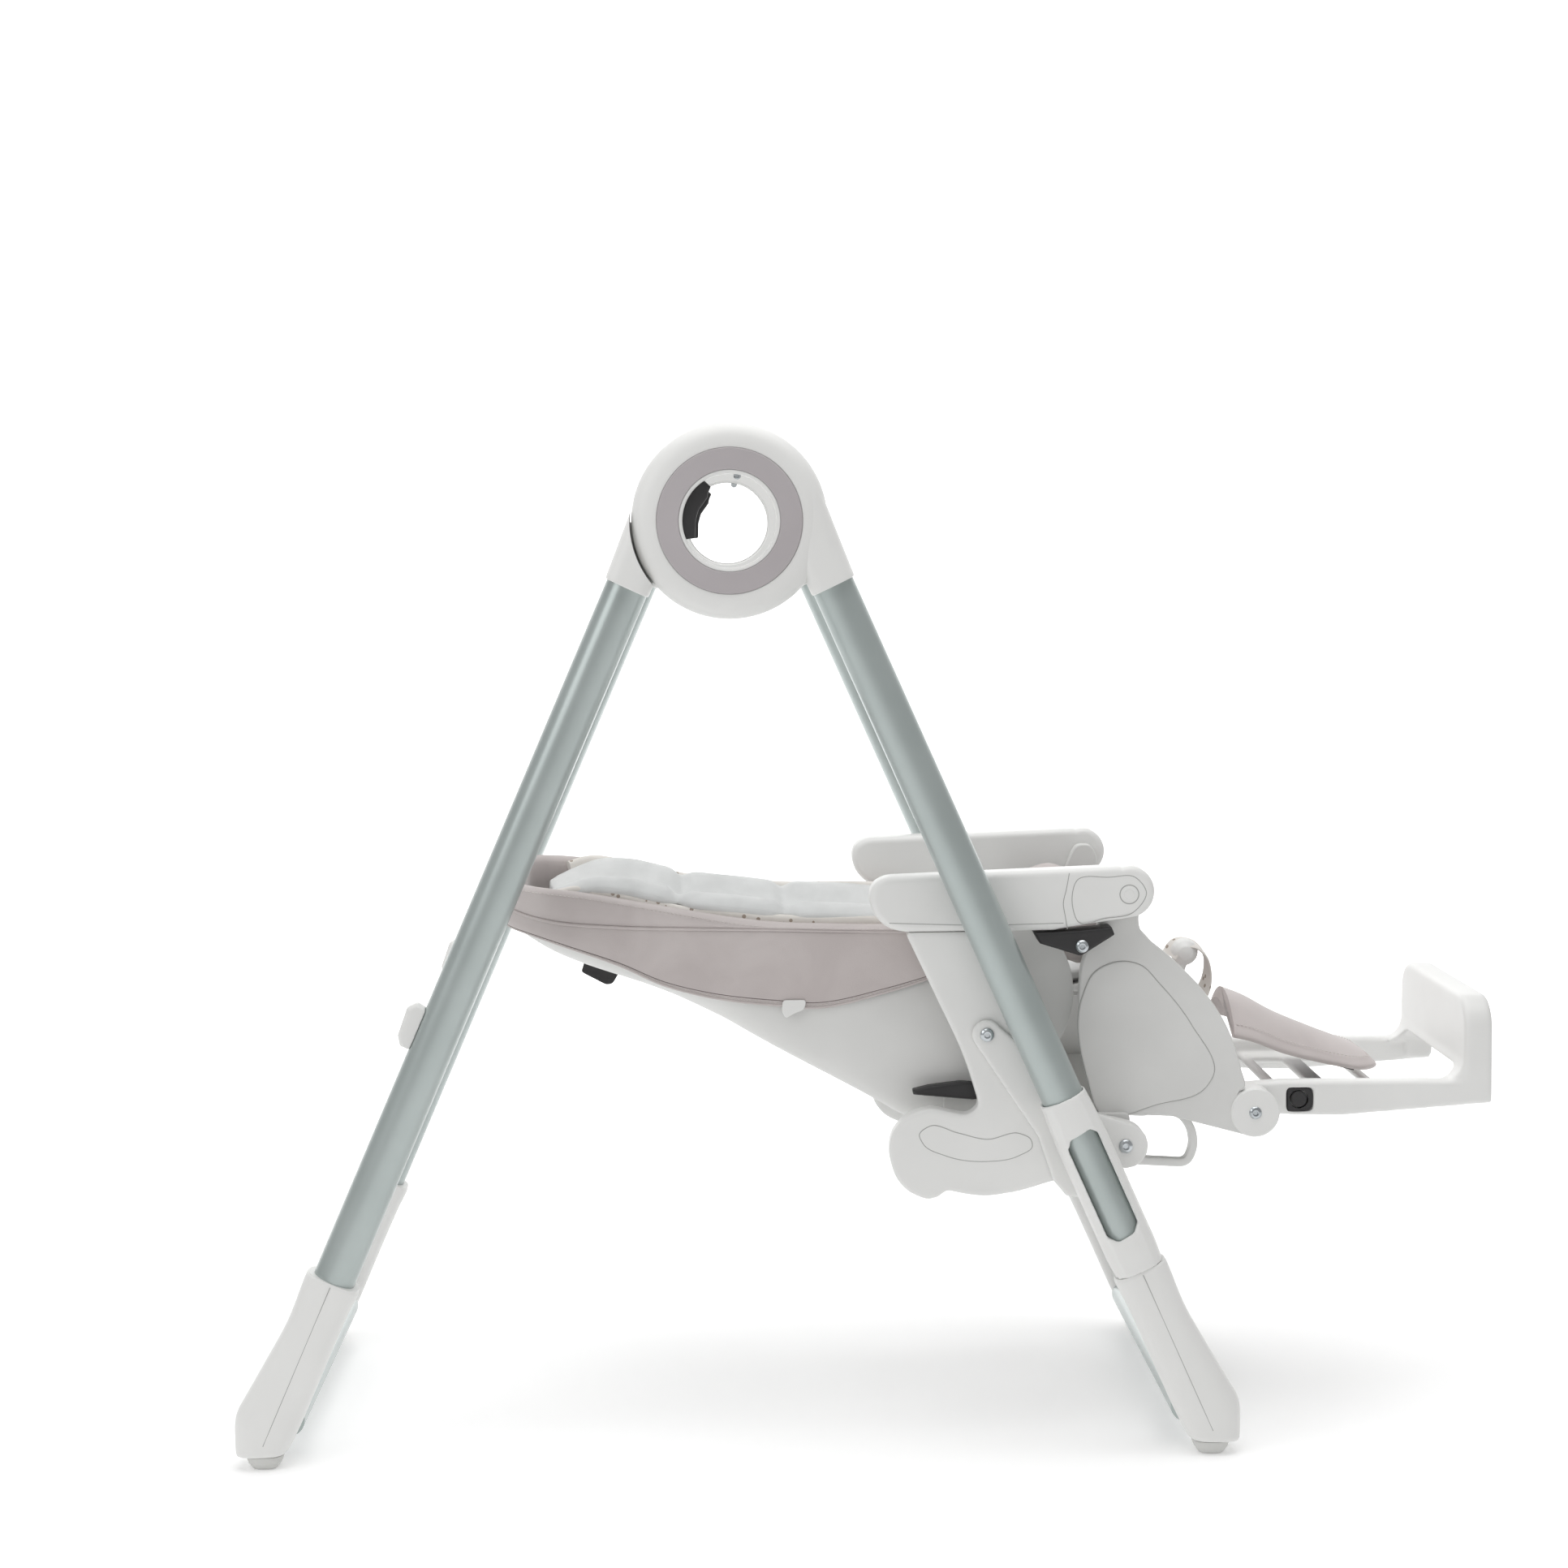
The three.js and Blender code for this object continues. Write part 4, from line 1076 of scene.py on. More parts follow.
@dataclass
class Leg:
    """One leg: its tube, foot, foot pad and, at the rear, the peg that the tray hangs on."""

    datum: Datum
    side: Side
    rear: bool
    tube_radius: float = 21.1
    centre_y: float = 230.0
    start: float = 86.0
    stop: float = 844.8
    into_foot: float = 60.0
    foot_half: float = 24.6

    @property
    def place(self) -> str:
        """The word that begins this leg's node names."""
        return "rear" if self.rear else "front"

    @property
    def facing(self) -> int:
        """1 where the leg leans to the foot end, -1 where it leans to the head end."""
        return -1 if self.rear else 1

    def leg_tube(self) -> bpy.types.Object:
        """The straight painted tube."""
        y = self.side.value * self.centre_y
        offset = self.datum.leg_offset
        ends = self.datum.on_leg([(offset, self.start), (offset, self.stop + self.into_foot)], self.facing)
        start, end = [(x, y, z) for x, z in ends]
        return tube(f"{self.place}_leg_look_{self.side.tag}", start, end, self.tube_radius)

    def foot(self) -> bpy.types.Object:
        """The foot: ovals about the leg's line, wider toward the floor, and a smooth surface through them."""
        slope = math.tan(math.radians(self.datum.leg_angle))
        top = self.datum.on_leg([(self.datum.leg_offset, self.stop)], self.facing)[0]
        stations = np.array([[0.5, 24.0, 24.0], [-6, 25.6, 25.6], [-38, 29, 29], [-78, 28.5, 33.7],
                             [-113, 28.5, 38.8], [-130, 28.5, 40.9], [-143, 28.4, 38.0], [-158, 27.8, 31.5],
                             [-170, 26.6, 26.0], [-174, 24.0, 23.5]])
        level, behind, before = stations.T
        middle = (before - behind) / 2 - level * slope
        half = self.foot_half - np.array([1.2, 0.4, 0, 0, 0, 0, 0, 0, 1.0, 3.6])
        ring = oval((before + behind) / 2, half, 80, 3.0)
        x = top[0] + self.facing * (middle[:, None] + ring[..., 0])
        y = self.side.value * self.centre_y + ring[..., 1]
        tilt = np.where(np.arange(len(level)) < 2, slope, 0.0)[:, None] * ring[..., 0]
        z = top[1] + level[:, None] + tilt
        rings = blended_rows(np.stack([x, y, z], axis=-1), 64)
        return skin(f"{self.place}_foot_look_{self.side.tag}", rings, crease=50.0)

    def foot_line(self) -> bpy.types.Object:
        """The parting line down the foot's outer face, as a dark bead of painted groove shade."""
        down = np.linspace(2.0, 176.0, 6)
        path = self.datum.on_leg([(self.datum.leg_offset, self.stop + t) for t in down], self.facing)
        y = self.side.value * (self.centre_y + self.foot_half - 0.05)
        return line_bead(f"{self.place}_foot_line_{self.side.tag}", path, y, 0.7)

    def pad(self) -> bpy.types.Object:
        """The rubber sole: ovals that widen upward from a rounded edge."""
        low, high = node_span(f"{self.place}_foot_pad_{self.side.tag}")
        middle, half = (low + high) / 2, (high - low) / 2
        level = np.array([0.0, 0.5, 2.5, 7.0, 12.5, 13.5])
        share = np.array([0.60, 0.66, 0.74, 0.90, 0.99, 0.985])
        ring = oval(half[0] * share, half[1] * share, 64, 3.0)
        flat = np.stack([middle[0] + ring[..., 0], middle[1] + ring[..., 1],
                         np.broadcast_to(level[:, None], ring.shape[:2])], axis=-1)
        return skin(f"{self.place}_foot_pad_look_{self.side.tag}", flat)

    def build(self) -> None:
        """Makes and dresses the leg's pieces."""
        body, tag = self.place + "_frame", self.side.tag
        dress(self.leg_tube(), body, PAINTED_TUBE, f"{self.place}_leg_{tag}")
        dress(self.foot(), body, WHITE_SHELL, f"{self.place}_foot_{tag}")
        dress(self.foot_line(), body, SEAM_SHADE)
        dress(self.pad(), body, SOLE_RUBBER, f"{self.place}_foot_pad_{tag}")
        if self.rear:
            dress(moulded("tray_peg_" + tag, 1.2, 6), body, WHITE_SHELL, "tray_peg_" + tag)


@dataclass
class FloorBar:
    """The tube between a pair of feet."""

    place: str

    def build(self) -> None:
        """Makes and dresses the bar."""
        node = self.place + "_floor_bar"
        low, high = node_span(node)
        middle = (low + high) / 2
        start, end = (middle[0], low[1], middle[2]), (middle[0], high[1], middle[2])
        dress(tube(node + "_look", start, end, (high[2] - low[2]) / 2), self.place + "_frame", PAINTED_TUBE,
              node)


# ---- The seat's hard parts


@dataclass
class Screw:
    """A domed screw head with a round socket, standing on a flat side."""

    name: str
    spot: Sequence[float]
    foot: float
    radius: float = 6.6
    height: float = 3.0
    shank: float = 0.0

    def make(self, side: Side) -> bpy.types.Object:
        """The screw as a body of revolution.

        Args:
            side: the side it is on.

        Returns:
            The new object.
        """
        r, top = self.radius, self.foot + self.height
        head = [(AXIS, top - 1.8), (r * 0.34, top - 1.8), (r * 0.38, top - 0.3), (r * 0.52, top),
                (r * 0.8, top - 0.6), (r, top - 2.0), (r, self.foot)]
        shank = [(r * 0.55, self.foot), (r * 0.55, self.foot - self.shank - 0.1),
                 (AXIS, self.foot - self.shank - 0.1)]
        return turned(f"{self.name}_{side.tag}", side.profile(head + shank), self.spot, 40, closed=False)


@dataclass
class SeatSide:
    """One side of the seat: the carriage on the leg, the upright with its handle, the panel and bracket."""

    datum: Datum
    side: Side
    support: tuple[float, float] = (202.9, 181.0)
    panel: tuple[float, float] = (171.6, 158.1)
    hinge_radius: float = 25.4
    loop_middle: float = 130.7
    bolt_foot: float = 208.6

    def at_seat(self, points: Points) -> np.ndarray:
        """Points given from the seat's own zero, as X and Z."""
        return np.asarray(points, float) + self.datum.seat

    def upright(self) -> bpy.types.Object:
        """The upright that carries the armrest and ends below in a curved handle."""
        corners = [(-151, 336), (-230, 336), (-171.5, 211.4), (-156, 160), (-168, 150), (-186, 154),
                   (-207, 159), (-231, 150), (-246, 132), (-248, 110), (-241, 87), (-229, 73), (-210, 64.6),
                   (-198, 67), (-190, 74.5), (-172, 70), (-150, 67), (-116, 72), (-83, 82), (-40, 92),
                   (-8, 94), (10, 106), (14, 120), (6, 136), (-10, 142), (-51, 150), (-86, 164), (-99, 212)]
        radii = [6, 6, 30, 12, 10] + [12] * 8 + [6, 6, 8] + [12] * 9 + [14, 22, 30]
        outline = filleted(self.at_seat(corners), radii[: len(corners)], 8)
        piece = plate("side_support_look_" + self.side.tag, outline, *self.side.levels(*self.support), 0.6)
        return eased(piece, 1.8, 9)

    def inlay(self) -> tuple[bpy.types.Object, bpy.types.Object]:
        """The curved inlay on the handle's outer face, and the fine gap round it as a dark bead of painted
        shade.

        Returns:
            The inlay and the painted shade line of the gap.
        """
        ring = [(-216.9, 131.8), (-207.0, 139.9), (-178.5, 132.9), (-149.2, 125.9), (-115.7, 131.2),
                (-105.1, 125.2), (-103.5, 118.6), (-117.4, 108.8), (-149.3, 103.5), (-190.9, 109.9),
                (-212.8, 121.8)]
        outline = smooth_curve(self.at_seat(ring), 96, closed=True)
        outer = self.support[0]
        raised = plate("handle_inlay_" + self.side.tag, outline, *self.side.levels(outer - 1.0, outer + 0.22),
                       0.2)
        gap = line_bead("handle_line_" + self.side.tag, self.at_seat(ring), self.side.value * (outer + 0.05),
                        1.0, True, 160)
        return raised, gap

    def panel_plate(self) -> bpy.types.Object:
        """The flat panel beside the seat, round at the front where the leg rest turns."""
        corners = [(-28, 141), (-38, 160), (-50, 215), (-53, 261), (-50, 300), (-36, 330), (-21, 372),
                   (-14, 384), (2, 384), (9, 372), (8, 330), (39.5, 305), (65, 280), (84, 256.5), (98, 233),
                   (106.6, 211), (112, 190), (120, 166)]
        front = arc(self.datum.calf - self.datum.seat, self.hinge_radius, 70, -95, 30)
        body = filleted(self.at_seat(corners), 12, 6)
        outline = np.vstack([body[4:], self.at_seat(front), self.at_seat([(33, 142.7)]), body[:4]])
        return plate("side_panel_" + self.side.tag, outline, *self.side.levels(*self.panel), 2.2)

    def panel_field(self) -> tuple[bpy.types.Object, bpy.types.Object]:
        """The raised field on the panel, and a dark bead of painted groove shade along its edge.

        Returns:
            The field and the bead.
        """
        ring = [(-50, 262), (-36, 290), (-11, 300), (10, 296), (29, 277), (62, 234), (84, 181), (76, 169),
                (28, 153), (-30, 143), (-44, 180)]
        flat = smooth_curve(self.at_seat(ring), 120, closed=True)
        outer = self.panel[0]
        raised = plate("panel_field_" + self.side.tag, flat, *self.side.levels(outer - 1.0, outer + 1.0), 1.6)
        bead = line_bead("panel_line_" + self.side.tag, self.at_seat(ring), self.side.value * (outer + 0.1),
                         0.9, True, 200)
        return raised, bead

    def hinge_cap(self) -> bpy.types.Object:
        """The round cap where the leg rest turns, standing a little proud of the panel."""
        r, outer = self.hinge_radius, self.panel[0]
        profile = [(AXIS, outer - 29.0), (r - 0.4, outer - 29.0), (r - 0.4, outer + 0.6),
                   (r - 1.8, outer + 2.0), (AXIS, outer + 2.2)]
        return turned("hinge_cap_" + self.side.tag, self.side.profile(profile), self.datum.calf, 72,
                      closed=False)

    def loop(self) -> bpy.types.Object:
        """The loop under the seat: a squared band round an open middle."""
        corners = [(2, 140), (56, 137), (68, 121), (71, 103), (64, 84), (2, 88)]
        flat = self.at_seat(spread(filleted(corners, (1, 12, 8, 10, 14, 1), 8)[2:-2], 70))
        run = at_y(flat, self.side.value * self.loop_middle)
        return swept("finger_loop_" + self.side.tag, run, oval(4.4, 6.8, 32, 6.0), ACROSS)

    def build(self) -> None:
        """Makes and dresses this side's pieces."""
        tag = self.side.tag
        dress(moulded("carriage_" + tag, 1.5, 4), "seat", WHITE_SHELL, "carriage_" + tag)
        dress(self.upright(), "seat", WHITE_SHELL, "side_support_" + tag)
        for piece, finish in zip(self.inlay(), (WHITE_SHELL, SEAM_SHADE), strict=True):
            dress(piece, "seat", finish)
        dress(self.panel_plate(), "seat", GREY_SHELL)
        for piece, finish in zip(self.panel_field(), (GREY_SHELL, SEAM_SHADE), strict=True):
            dress(piece, "seat", finish)
        dress(self.hinge_cap(), "seat", WHITE_SHELL)
        dress(self.loop(), "seat", WHITE_SHELL)
        dress(moulded("arm_bracket_" + tag, 1.2, 5), "seat", BLACK_PART, "arm_bracket_" + tag)
        for place in ("upper", "lower"):
            low, high = node_span(f"{place}_bolt_{tag}")
            spot = ((low + high) / 2)[[0, 2]]
            bolt = Screw(place + "_bolt_look", spot, self.bolt_foot, 6.8, 3.2, 31.0)
            dress(bolt.make(self.side), "seat", ZINC_STEEL, f"{place}_bolt_{tag}")
        dress(Screw("bracket_screw", self.at_seat([(-53, 320)])[0], 202.1, 6.4).make(self.side), "seat",
              ZINC_STEEL)
        dress(Screw("hinge_screw", self.datum.calf, 173.4, 6.4, 2.6).make(self.side), "seat", ZINC_STEEL)


@dataclass
class SeatPan:
    """The pan between the side panels, the beam under it and the crotch post."""

    datum: Datum
    thickness: float = 6.0
    narrow: float = 147.0
    widening: float = 10.0
    beam_half: float = 180.6
    path: Line = ((-172, 262), (-101, 258), (-51, 264), (-1, 274), (39, 267), (69, 244), (91, 210),
                  (102, 174))

    def pan(self) -> bpy.types.Object:
        """The pan: one curved sheet that is narrower where it lies inside the backrest shell."""
        line = smooth_curve(self.path, 70)
        half = self.narrow + self.widening * np.clip((line[:, 0] + 12.0) / 16.0, 0.0, 1.0)
        section = oval(half, np.full(len(line), self.thickness / 2), 48, 10.0)
        return skin("seat_pan", crosswise(at_y(line + self.datum.seat), section), crease=50.0)

    def beam(self) -> bpy.types.Object:
        """The cross beam that joins the two uprights."""
        corners = np.array([(-50, 104), (-2, 104), (-2, 146), (-50, 146)]) + self.datum.seat
        return plate("cross_beam", filleted(corners, 6), -self.beam_half, self.beam_half, 1.0)

    def grip(self) -> bpy.types.Object:
        """The dark handle under the head end, that frees the backrest."""
        corners = np.array([(-406.5, 27.0), (-370, 12.4), (-379, -3), (-386, -4),
                            (-412, 10)]) + self.datum.recline
        low, high = node_span("recline_grip")
        return plate("recline_grip_look", filleted(corners, (2, 2, 4, 4, 3)), low[1], high[1], 1.6)

    def build(self) -> None:
        """Makes and dresses the pan's pieces."""
        whole = joined("seat_base_look", [self.pan(), self.beam()])
        dress(whole, "seat", GREY_SHELL, "seat_base")
        dress(moulded("crotch_post", 1.0, 5), "seat", WHITE_SHELL, "crotch_post")
        dress(moulded("recline_lever", 1.2, 5), "recline_lever", BLACK_PART, "recline_lever")
        dress(self.grip(), "recline_grip", BLACK_PART, "recline_grip")


@dataclass
class Armrest:
    """One armrest: a long rounded bar with a seam, a framed front part and a push button."""

    datum: Datum
    side: Side
    outer: float = 204.2
    inner: float = 172.2
    rounding: float = 6.5
    nose_radius: float = 26.0

    def bar(self) -> bpy.types.Object:
        """The armrest's body."""
        tail = [(-66, -35.6), (-225, -36), (-243, -31), (-256, -17), (-260, 0), (-256, 13), (-243, 20.2)]
        nose = arc((0, 2), self.nose_radius, 92, -75, 26)
        outline = np.vstack([filleted(tail + [tuple(nose[0])], 12, 6)[3:-3], nose]) + self.datum.arm
        return plate("armrest_look_" + self.side.tag, outline, *self.side.levels(self.outer, self.inner),
                     self.rounding)

    def lines(self) -> list[bpy.types.Object]:
        """The curved seam between the bar's mouldings, the line round its front and the lower edge line, as
        dark beads of painted groove shade.
        """
        y, tag = self.side.value * (self.outer + 0.02), self.side.tag
        seam = [(-60, 22), (-63, 6), (-66, -8), (-64, -22), (-62, -34)]
        front = [(-52, 15), (-20, 17.5), (6, 17), (17, 2), (4, -18), (-25, -24), (-50, -28), (-57, -10)]
        edge = [(-240, -26), (-150, -29), (-66, -28)]
        runs = (("seam", seam, False), ("frame", front, True), ("edge", edge, False))
        return [line_bead(f"armrest_{name}_{tag}", np.array(run) + self.datum.arm, y, 0.8, shut, 140)
                for name, run, shut in runs]

    def button(self) -> bpy.types.Object:
        """The round push button, with a small dimple."""
        high = self.outer + 0.3
        low = high - 6.6
        profile = [(AXIS, low), (8.6, low), (8.6, high - 0.9), (7.8, high - 0.1), (5.2, high),
                   (4.6, high - 0.7), (AXIS, high - 0.9)]
        return turned("armrest_button_look_" + self.side.tag, self.side.profile(profile), self.datum.arm, 56,
                      closed=False)

    def collar(self) -> bpy.types.Object:
        """The shaded gap round the button."""
        high = self.outer + 0.12
        profile = [(8.9, high - 0.5), (8.9, high), (9.9, high), (9.9, high - 0.5)]
        return turned("armrest_gap_" + self.side.tag, self.side.profile(profile), self.datum.arm, 56)

    def build(self) -> None:
        """Makes and dresses the armrest's pieces."""
        tag = self.side.tag
        dress(self.bar(), "armrest_" + tag, WHITE_SHELL, "armrest_" + tag)
        dress(self.button(), "armrest_button_" + tag, WHITE_SHELL, "armrest_button_" + tag)
        dress(self.collar(), "armrest_" + tag, SEAM_SHADE)
        for piece in self.lines():
            dress(piece, "armrest_" + tag, SEAM_SHADE)


@dataclass
class Backrest:
    """The backrest's bucket shell: a rounded trough closed at the head end, with round ears at the hips."""

    datum: Datum
    head: float = -484.0
    foot: float = 16.0
    half: float = 155.6
    wall: float = 5.0
    corner: float = 60.0
    ear_radius: float = 93.0
    belly: Line = ((-484, 85), (-467, 58), (-452, 48), (-308, -11.5), (-211, -62), (-104, -118), (-83, -130),
                   (-52, -140), (-17, -138), (16, -123))
    rim: Line = ((-484, 101), (-372, 92), (-312, 80), (-252, 71), (-154, 64), (-102, 63), (16, 58))

    def trough(self) -> bpy.types.Object:
        """The shell: sections across it, each down one wall, round a soft corner and over to the other wall.

        The half width follows the head end's round corners, and the floor and rim follow their own lines.
        """
        share = np.linspace(0.0, 1.0, 90)
        x = self.head + (self.foot - self.head) * (1.0 - np.cos(share * np.pi / 2)) ** 0.9
        inset = np.clip(1.0 - (x - self.head) / self.corner, 0.0, 1.0)
        half = self.half - self.corner * (1.0 - np.sqrt(np.maximum(1.0 - inset**2, 0.0)))
        low = np.interp(x, *smooth_curve(self.belly, 300).T)
        high = np.interp(x, *smooth_curve(self.rim, 200).T)
        low = np.minimum(low, high - 8.0)
        turn = np.linspace(-1.0, 1.0, 75)
        bend = np.interp(x, [self.head, -260, -110, self.foot], [4.5, 4.5, 10.0, 14.0])[:, None]
        c = np.sign(turn) * np.abs(np.sin(np.abs(turn) * np.pi / 2)) ** (2 / bend)
        s = np.abs(np.cos(turn * np.pi / 2)) ** (2 / bend)
        y = half[:, None] * c
        z = high[:, None] - (high - low)[:, None] * s
        where = self.datum.recline
        rows = np.stack([where[0] + np.broadcast_to(x[:, None], y.shape), y, where[1] + z], axis=-1)
        faces = grid_faces(len(x), len(turn), False, False).tolist()
        cap = list(range(len(turn)))
        piece = make_object("backrest_shell_look", rows, [*faces, cap], 50.0, closed=False)
        return thickened(piece, self.wall, self.inward(piece))

    def inward(self, piece: bpy.types.Object) -> float:
        """The solidify offset that grows the wall into the hollow.

        Args:
            piece: the open shell.

        Returns:
            -1 where the faces point out of the hollow, 1 where they point into it.
        """
        centres, normals = (vectors(piece.data.polygons, label) for label in ("center", "normal"))
        middle = np.argmin(np.abs(centres[:, 1]) + np.abs(centres[:, 0] / MM + 60.0) * 1e-3)
        return -1.0 if normals[middle, 2] < 0 else 1.0

    def ears(self) -> bpy.types.Object:
        """The two round walls beside the hips."""
        outline = np.vstack([arc((0, 0), self.ear_radius, -62, 45, 40),
                             [(0, 62), (-40, 60), (-40, -120), (0, -128), (16, -123)]])
        sides = [plate(f"ear_{side.tag}", outline + self.datum.recline, side.value * (self.half - 0.1),
                       side.value * (self.half - 5.6), 1.0)
                 for side in Side]
        return joined("backrest_ears", sides)

    def build(self) -> None:
        """Makes and dresses the shell."""
        dress(self.trough(), "backrest", GREY_SHELL, "backrest_shell")
        dress(self.ears(), "backrest", GREY_SHELL)
        rib = plate("grip_rib", filleted(np.array([(-450, 50), (-414, 23), (-411, 38)]) + self.datum.recline,
                                         3), -55, 55, 1.0)
        dress(rib, "backrest", GREY_SHELL)


# ---- Upholstery


def inflate(piece: bpy.types.Object, voxel: float = 5.0, pressure: float = 4.0, most: float = 6.0) -> None:
    """Swells a closed form as stuffed cloth does: remeshed evenly, then blown up by a cloth simulation.

    Args:
        piece: the piece to change.
        voxel: the even mesh's size in millimetres.
        pressure: the simulation's pressure.
        most: how far a point may move in millimetres.
    """
    even = piece.modifiers.new("even_mesh", "REMESH")
    even.mode, even.voxel_size, even.use_smooth_shade = "VOXEL", voxel * MM, True
    replace_mesh(piece)
    start = vectors(piece.data.vertices, "co")
    cloth = piece.modifiers.new("stuffing", "CLOTH")
    cloth.settings.quality, cloth.settings.mass = 5, STUFFING_MASS
    cloth.settings.use_pressure, cloth.settings.uniform_pressure_force = True, pressure
    cloth.settings.shrink_min = STUFFING_SHRINK
    cloth.settings.effector_weights.gravity = 0.0
    cloth.point_cache.frame_start, cloth.point_cache.frame_end = 1, STUFFING_FRAMES
    for number in range(1, STUFFING_FRAMES + 1):
        bpy.context.scene.frame_set(number)
    replace_mesh(piece)
    bpy.context.scene.frame_set(1)
    move = vectors(piece.data.vertices, "co") - start
    length = np.maximum(np.linalg.norm(move, axis=1), 1e-9)[:, None]
    kept = start + move * np.minimum(1.0, most * MM / length)
    piece.data.vertices.foreach_set("co", kept.ravel())
    piece.data.update()
    fine = piece.modifiers.new("fine", "SUBSURF")
    fine.levels = fine.render_levels = 1
    replace_mesh(piece)
    piece.data.shade_smooth()


def quilt(piece: bpy.types.Object, depth_at: Callable[[np.ndarray], np.ndarray]) -> None:
    """Presses sewn channels into a piece, along its normals.

    Args:
        piece: the piece to change.
        depth_at: gives each point's depth in millimetres from its place in millimetres.
    """
    spots, normals = (vectors(piece.data.vertices, label) for label in ("co", "normal"))
    moved = spots - normals * depth_at(spots / MM)[:, None] * MM
    piece.data.vertices.foreach_set("co", moved.ravel())
    piece.data.update()


def groove(distance: np.ndarray, width: float, depth: float) -> np.ndarray:
    """A bell-shaped groove: depth times e to the minus square of distance over width."""
    return depth * np.exp(-((distance / width) ** 2))


@dataclass
class ShellCover:
    """The coated cloth round the backrest's rim: an outer skirt, a piped seam and a rim rolled inward."""

    datum: Datum
    head: float = -484.0
    half: float = 155.75
    corner: float = 60.0
    hip: float = -44.0
    thickness: float = 1.1
    columns: int = 260
    hem: Line = ((-490, 72), (-462, 66), (-406, 47.5), (-367, 33), (-324, 13), (-282, 1), (-203, -10),
                 (-174, -12.5), (-100, 2), (-44, 19))
    piping: Line = ((-490, 93), (-472, 87), (-430, 78), (-375, 73), (-293, 70), (-200, 68), (-154, 66.5),
                    (-44, 64))
    top: Line = ((-490, 116), (-456, 113), (-411, 108), (-348, 97), (-293, 87), (-252, 80), (-211, 75),
                 (-154, 72.5), (-44, 70))

    def plan(self, gap: float) -> np.ndarray:
        """The line in plan a gap outside the shell: two straights, two quarter circles and the head end.

        Args:
            gap: distance outside the shell's face, negative for inside.

        Returns:
            Points as X and Y, evenly spaced, from the right hip round the head to the left hip.
        """
        half, radius, end = self.half + gap, self.corner + gap, self.head - gap
        right = [(self.hip, -half)]
        turn = arc((end + radius, -half + radius), radius, 270, 180, 24)
        left = np.flipud(turn) * (1.0, -1.0)
        return spread(np.vstack([right, turn, left, [(self.hip, half)]]), self.columns)

    def row(self, gap: float, height: Line, drop: float = 0.0) -> np.ndarray:
        """One control row of the cloth.

        Args:
            gap: distance outside the shell's face.
            height: the line that gives Z at each X.
            drop: how far below that line.

        Returns:
            The row's points.
        """
        flat = self.plan(gap)
        level = np.interp(flat[:, 0], *smooth_curve(height, 240).T) - drop
        place = self.datum.recline
        return np.stack([place[0] + flat[:, 0], flat[:, 1], place[1] + level], axis=1)

    def outward(self) -> np.ndarray:
        """The unit direction out of the shell at each point of the line round it."""
        along = np.gradient(self.plan(0.0), axis=0)
        along /= np.linalg.norm(along, axis=1)[:, None]
        return np.stack([along[:, 1], -along[:, 0], np.zeros(len(along))], axis=1) * -1.0

    def sag(self, rows: np.ndarray) -> np.ndarray:
        """Slight fullness of the skirt between its held edges: waves along it, which fade at those edges."""
        along = np.linspace(0.0, 1.0, rows.shape[1])
        fade = np.sin(np.linspace(0.0, np.pi, rows.shape[0]))[:, None]
        wave = np.sin(along * 37.0) * 0.5 + np.sin(along * 83.0 + 1.0) * 0.3
        return rows + self.outward()[None] * (fade * (wave + 0.9))[..., None]

    def skirt_rows(self) -> np.ndarray:
        """The outer cloth below the piped seam, as rows of points from the hem upward."""
        low, high = self.row(1.6, self.hem), self.row(3.2, self.piping, 0.6)
        share = np.array([0.0, 0.12, 0.5, 0.88, 1.0])[:, None, None]
        controls = low[None] + (high - low)[None] * share
        bulge = np.array([0.0, 0.6, 1.4, 0.8, 0.0])[:, None, None] * self.outward()[None]
        return self.sag(blended_rows(controls + bulge, 24))

    def rim_rows(self) -> np.ndarray:
        """The padded rim above the piped seam, as rows of points over the shell's edge and down inside it."""
        low, high = self.row(3.2, self.piping, -0.6), self.row(4.8, self.top, 5.0)
        high[:, 2] = np.maximum(high[:, 2], low[:, 2] + 1.5)
        middle = (low + high) / 2 + self.outward() * 1.4
        over = [self.row(-2.0, self.top, 0.0), self.row(-9.5, self.top, 5.0), self.row(-10.5, self.top, 22.0)]
        return blended_rows(np.stack([low, middle, high, *over, self.row(-9.0, self.top, 40.0)]), 36)

    def seam(self, name: str, line: np.ndarray, lift: float, radius: float) -> bpy.types.Object:
        """A round cord along a row of the cloth, lifted off it."""
        return swept(name, line + self.outward() * lift, oval(radius, radius, 10), UP)

    def build(self) -> None:
        """Makes and dresses the cover's pieces."""
        skirt_rows, rim_rows = self.skirt_rows(), self.rim_rows()
        upper = dress(thickened(sheet("cover_skirt", skirt_rows), self.thickness), "backrest", COATED_CLOTH,
                      "seat_cover")
        rim = dress(thickened(sheet("cover_rim", rim_rows), self.thickness), "backrest", COATED_CLOTH)
        dress(self.seam("cover_piping", skirt_rows[-1], 0.9, 1.6), "backrest", COATED_CLOTH)
        dress(self.seam("cover_hem_cord", skirt_rows[0], 0.2, 1.4), "backrest", COATED_CLOTH)
        # Painted shade: thin dark cords in the groove under the piping and along the hem.
        dress(self.seam("cover_pipe_shade", skirt_rows[-2], 0.5, 0.6), "backrest", CLOTH_SHADE)
        dress(self.seam("cover_hem_shade", skirt_rows[4], 0.45, 0.45), "backrest", CLOTH_SHADE)
        dress(stitches("cover_hem_stitches", skirt_rows[2] + self.outward() * 0.8, UP), "backrest", THREAD)
        dress(stitches("cover_rim_stitches", rim_rows[12] + self.outward() * 0.8, UP), "backrest", THREAD)
        for side in Side:
            tab = filleted(np.array([(-203, -4), (-179, -4), (-181, -14), (-192, -18), (-200, -23),
                                     (-204, -16)]), 4)
            spot = side.levels(self.half + 3.4, self.half + 5.6)
            dress(plate("cover_clip_" + side.tag, tab + self.datum.recline, *spot, 0.8), "backrest",
                  WHITE_SHELL)


